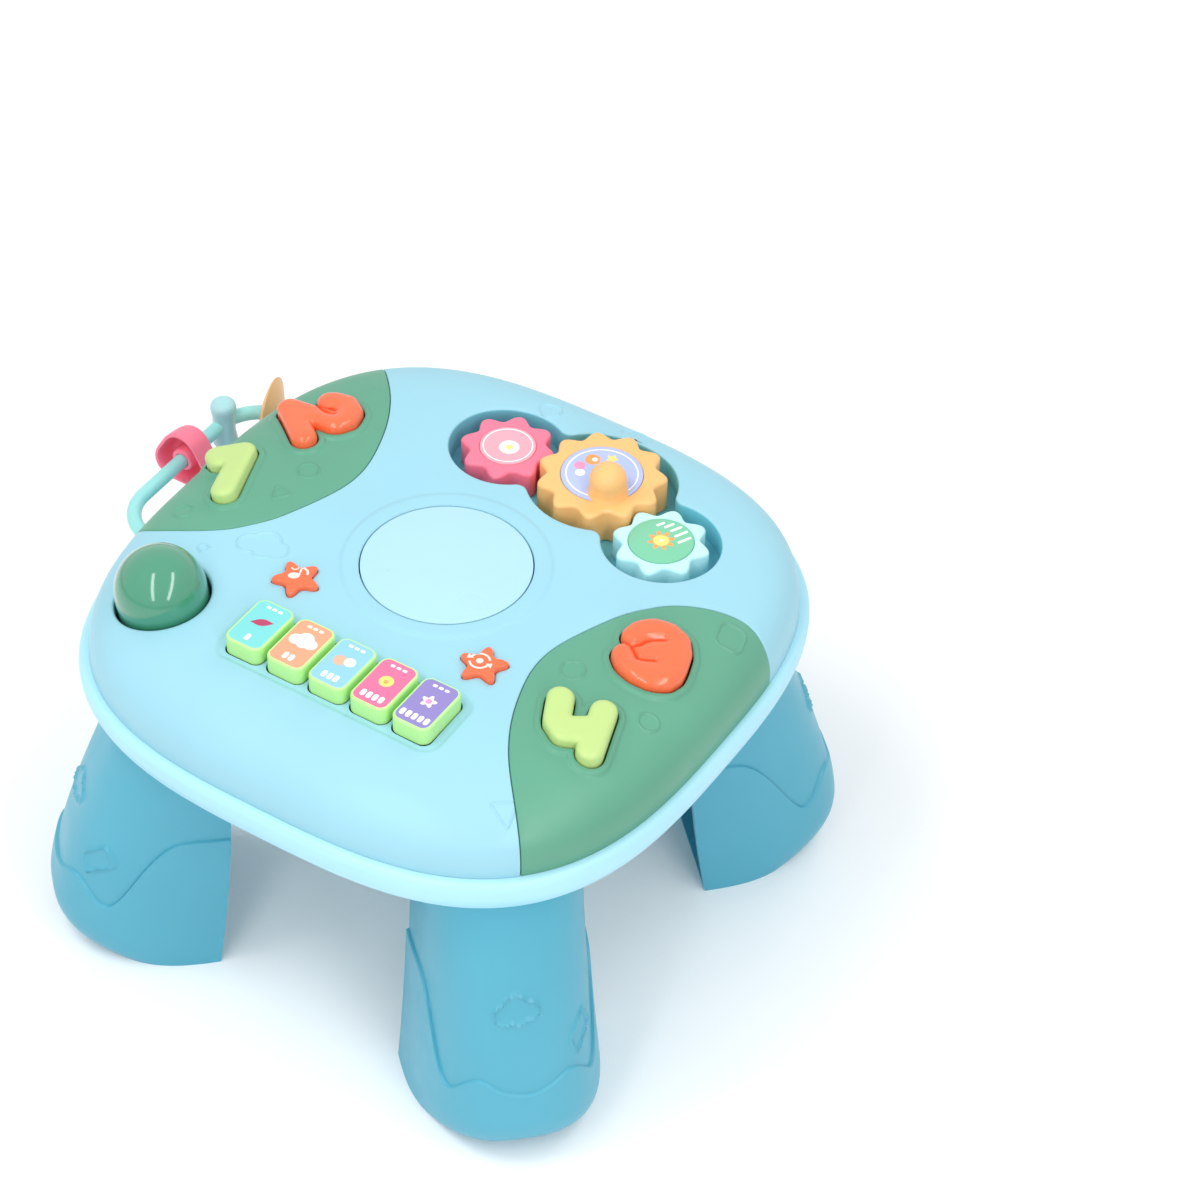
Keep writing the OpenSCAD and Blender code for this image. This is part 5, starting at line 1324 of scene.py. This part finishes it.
def bell_piece():
    """Three-lobed bell, open to the front, with its hub on the rail."""
    front = Turned((RAIL_X, BELL_Y, RAIL_Z), [(1, 0, 0), (0, 0, 1), (0, -1, 0)])

    def ring(scale, z):
        """Three-lobed outline at a scale, z along the rail."""
        return raised(wavy(BELL_R * scale, 3, 1.7 * scale, 90), z)

    outer = smooth_path([(0.36, 0), (0.62, 0.8), (0.82, 3), (0.92, 7), (0.97, 12), (1.0, 17)], 7)
    inner = smooth_path([(0.86, 17), (0.8, 11), (0.72, 6), (0.5, 2.8), (0.36, 2.4)], 7)
    rows = [ring(s, z) for s, z in outer[:-3]]
    mouth = [(0.995, 16.4), (0.975, 16.9), (0.93, 17.0), (0.885, 16.9), (0.865, 16.4)]
    rows += [ring(s, z) for s, z in [*mouth, *inner[4:]]]
    wall = [(2.5, 1), (2.5, 14.7), (2.1, 15.3), (1.2, 15.5), (0.3, 15.5), (0.3, 2)]
    hub = lathe(np.array(wall) + [RAIL_R, 0], 64)
    back = lathe([(RAIL_R + 0.3, 2), (RAIL_R + 0.3, 0), (0.37 * BELL_R, 0)], 64)
    solid("bell", lifted([grid(rows, closed=True), hub, back], front), [ROSE], body="bead_bell",
          replaces=["bead_bell"])


def spool_piece():
    """Upright bone-shaped spool with the rail passing through its waist."""
    half = SPOOL_HALF
    upper = np.array([(6.2, 4), (6.6, 7.4), (7.0, half - 5), (6.2, half - 2.2), (3.4, half - 0.2), (0, half)])
    side = smooth_path(np.vstack([upper[::-1] * [1, -1], upper]), 6)
    # the curve may not pass the axis
    side[:, 0] = np.maximum(side[:, 0], 0)
    place = standing(*at_bend(SPOOL_AT).origin)
    solid("spool", lifted([lathe(side, 64)], place), [SPOOL], body="bead_spool",
          replaces=["bead_spool"])


def disc_piece():
    """Lens-shaped disc, pierced for the rail."""
    r, half, hole = DISC_R, DISC_HALF, RAIL_R + 0.8
    big = (r * r + half * half) / (2 * half)
    rim = np.linspace(hole + 0.6, r - 0.6, 24)
    z = half - big + np.sqrt(big ** 2 - rim ** 2)
    below = [(hole, 0), (hole, -z[0] + 0.6), *zip(rim, -z), (r - 0.2, -0.4)]
    profile = np.vstack([below, [(r, 0)], (np.array(below) * [1, -1])[::-1]])
    solid("disc", lifted([lathe(profile, 96)], at_bend(DISC_AT)), [AMBER], body="bead_disc",
          replaces=["bead_disc"])


rail_piece()
bell_piece()
spool_piece()
disc_piece()


# ---- Finishes of the CAD pieces that keep their shape -------------------------

FINISHES = (
    (STEEL, ["gear_spindles", "gear_screws", "speaker_screws", "battery_door_screw", "battery_contacts",
             "case_screws"]),
    (BOARD, ["key_switch_board", "number_switch_boards", "star_switch_boards", "dome_switch_board",
             "led_board", "circuit_board"]),
    (GREY_RUBBER, ["key_pads", "number_pads", "star_pads", "dome_pad", "lens_pads", "switch_slider"]),
    (BLACK, ["speaker", "switch_housing"]),
    (PALE, ["battery_door"]),
    (CELL, ["batteries"]),
)
for finish, names in FINISHES:
    for name in names:
        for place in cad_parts[name].material_slots:
            place.material = finish


# ---- Camera, light and floor -------------------------------------------------

IMAGE_W, IMAGE_H = 1188, 1200
PIXELS_PER_MM = 1.994
CENTRE_X, CENTRE_Y = 446.6, 617.9
SENSOR = 36.0


def aimed(right, back, place):
    """Matrix of a camera or lamp at a place, from the directions of its right side and its back."""
    turn = Matrix((right, back.cross(right), back)).transposed().to_4x4()
    turn.translation = place
    return turn


def camera():
    """Camera aimed at the middle of the parting line, shifted so that the object stands left of centre."""
    a, e = VIEW_AZIMUTH * RAD, VIEW_ELEVATION * RAD
    right = Vector((np.cos(a), np.sin(a), 0))
    back = Vector((np.sin(a) * np.cos(e), -np.cos(a) * np.cos(e), np.sin(e)))
    target = Vector((MIDDLE[0], 0, PART_Z)) * MM
    data = bpy.data.cameras.new("camera")
    data.sensor_width = SENSOR
    data.lens = SENSOR * PIXELS_PER_MM * VIEW_DISTANCE / MM / max(IMAGE_W, IMAGE_H)
    data.shift_x = (IMAGE_W / 2 - CENTRE_X) / max(IMAGE_W, IMAGE_H)
    data.shift_y = (CENTRE_Y - IMAGE_H / 2) / max(IMAGE_W, IMAGE_H)
    view = bpy.data.objects.new("camera", data)
    view.matrix_world = aimed(right, back, target + back * VIEW_DISTANCE)
    bpy.context.scene.collection.objects.link(view)
    bpy.context.scene.camera = view


def lamp(name, place, size, power, aim=(0, 0, 0.15), along=(0, 0, 1), mirrored=False):
    """Rectangular softbox aimed at a point, its height as near along a direction as it can be.

    Gloss shows it only where it is mirrored.
    """
    data = bpy.data.lights.new(name, "AREA")
    data.shape = "RECTANGLE"
    data.size, data.size_y = size
    data.energy = power
    back = (Vector(place) - Vector(aim)).normalized()
    right = Vector(along).cross(back).normalized()
    box = bpy.data.objects.new(name, data)
    box.matrix_world = aimed(right, back, Vector(place))
    box.visible_glossy = mirrored
    bpy.context.scene.collection.objects.link(box)


# Places of the two strips from the dome, and the directions of their length
STRIPS = (("left", (0.155, -0.79, 0.89), (0.428, -0.654, -0.624)),
          ("right", (0.876, -0.173, 0.80), (0.397, -0.742, -0.54)))
FLOOR_HALF = 6.0


def studio():
    """Soft light from a pale room and three softboxes, two strips that the dome mirrors, and the floor."""
    scene = bpy.context.scene
    scene.view_settings.view_transform = "Standard"
    world = bpy.data.worlds.new("studio")
    scene.world = world
    world.use_nodes = True
    nodes, link = world.node_tree.nodes, world.node_tree.links.new
    background = nodes["Background"]
    background.inputs["Color"].default_value = (1, 1, 1, 1)
    path = nodes.new("ShaderNodeLightPath")
    seen = nodes.new("ShaderNodeMath")
    seen.operation = "MAXIMUM"
    link(path.outputs["Is Camera Ray"], seen.inputs[0])
    link(path.outputs["Is Glossy Ray"], seen.inputs[1])
    strength = nodes.new("ShaderNodeMapRange")
    # the room lights the table at this strength, and shows white to the camera and in gloss
    strength.inputs["To Min"].default_value = 0.55
    strength.inputs["To Max"].default_value = 1.0
    link(seen.outputs["Value"], strength.inputs["Value"])
    link(strength.outputs["Result"], background.inputs["Strength"])
    lamp("key", (-0.7, -0.5, 1.5), (0.9, 0.9), 10)
    lamp("fill", (1.3, -1.0, 1.1), (1.0, 1.0), 4)
    dome_at = Vector((DOME_PLACE.origin + MIDDLE) * MM)
    for side, away, along in STRIPS:
        lamp("strip_" + side, dome_at + Vector(away), (0.15, 1.7), 5, dome_at, along, True)
    lamp("back", (0.2, 1.4, 1.2), (1.2, 0.7), 7)
    mesh = bpy.data.meshes.new("floor")
    corners = [(x * FLOOR_HALF, y * FLOOR_HALF, 0) for x, y in ((-1, -1), (1, -1), (1, 1), (-1, 1))]
    mesh.from_pydata(corners, [], [(0, 1, 2, 3)])
    floor = bpy.data.objects.new("floor", mesh)
    scene.collection.objects.link(floor)
    mesh.materials.append(floor_material())


def floor_material():
    """Pale matt floor that stays near white for the camera and keeps the shadow."""
    material = bpy.data.materials.new("floor")
    material.use_nodes = True
    shader = material.node_tree.nodes["Principled BSDF"]
    shader.inputs["Base Color"].default_value = linear((250, 251, 252))
    shader.inputs["Roughness"].default_value = 0.9
    shader.inputs["Specular IOR Level"].default_value = 0.0
    return material


camera()
studio()
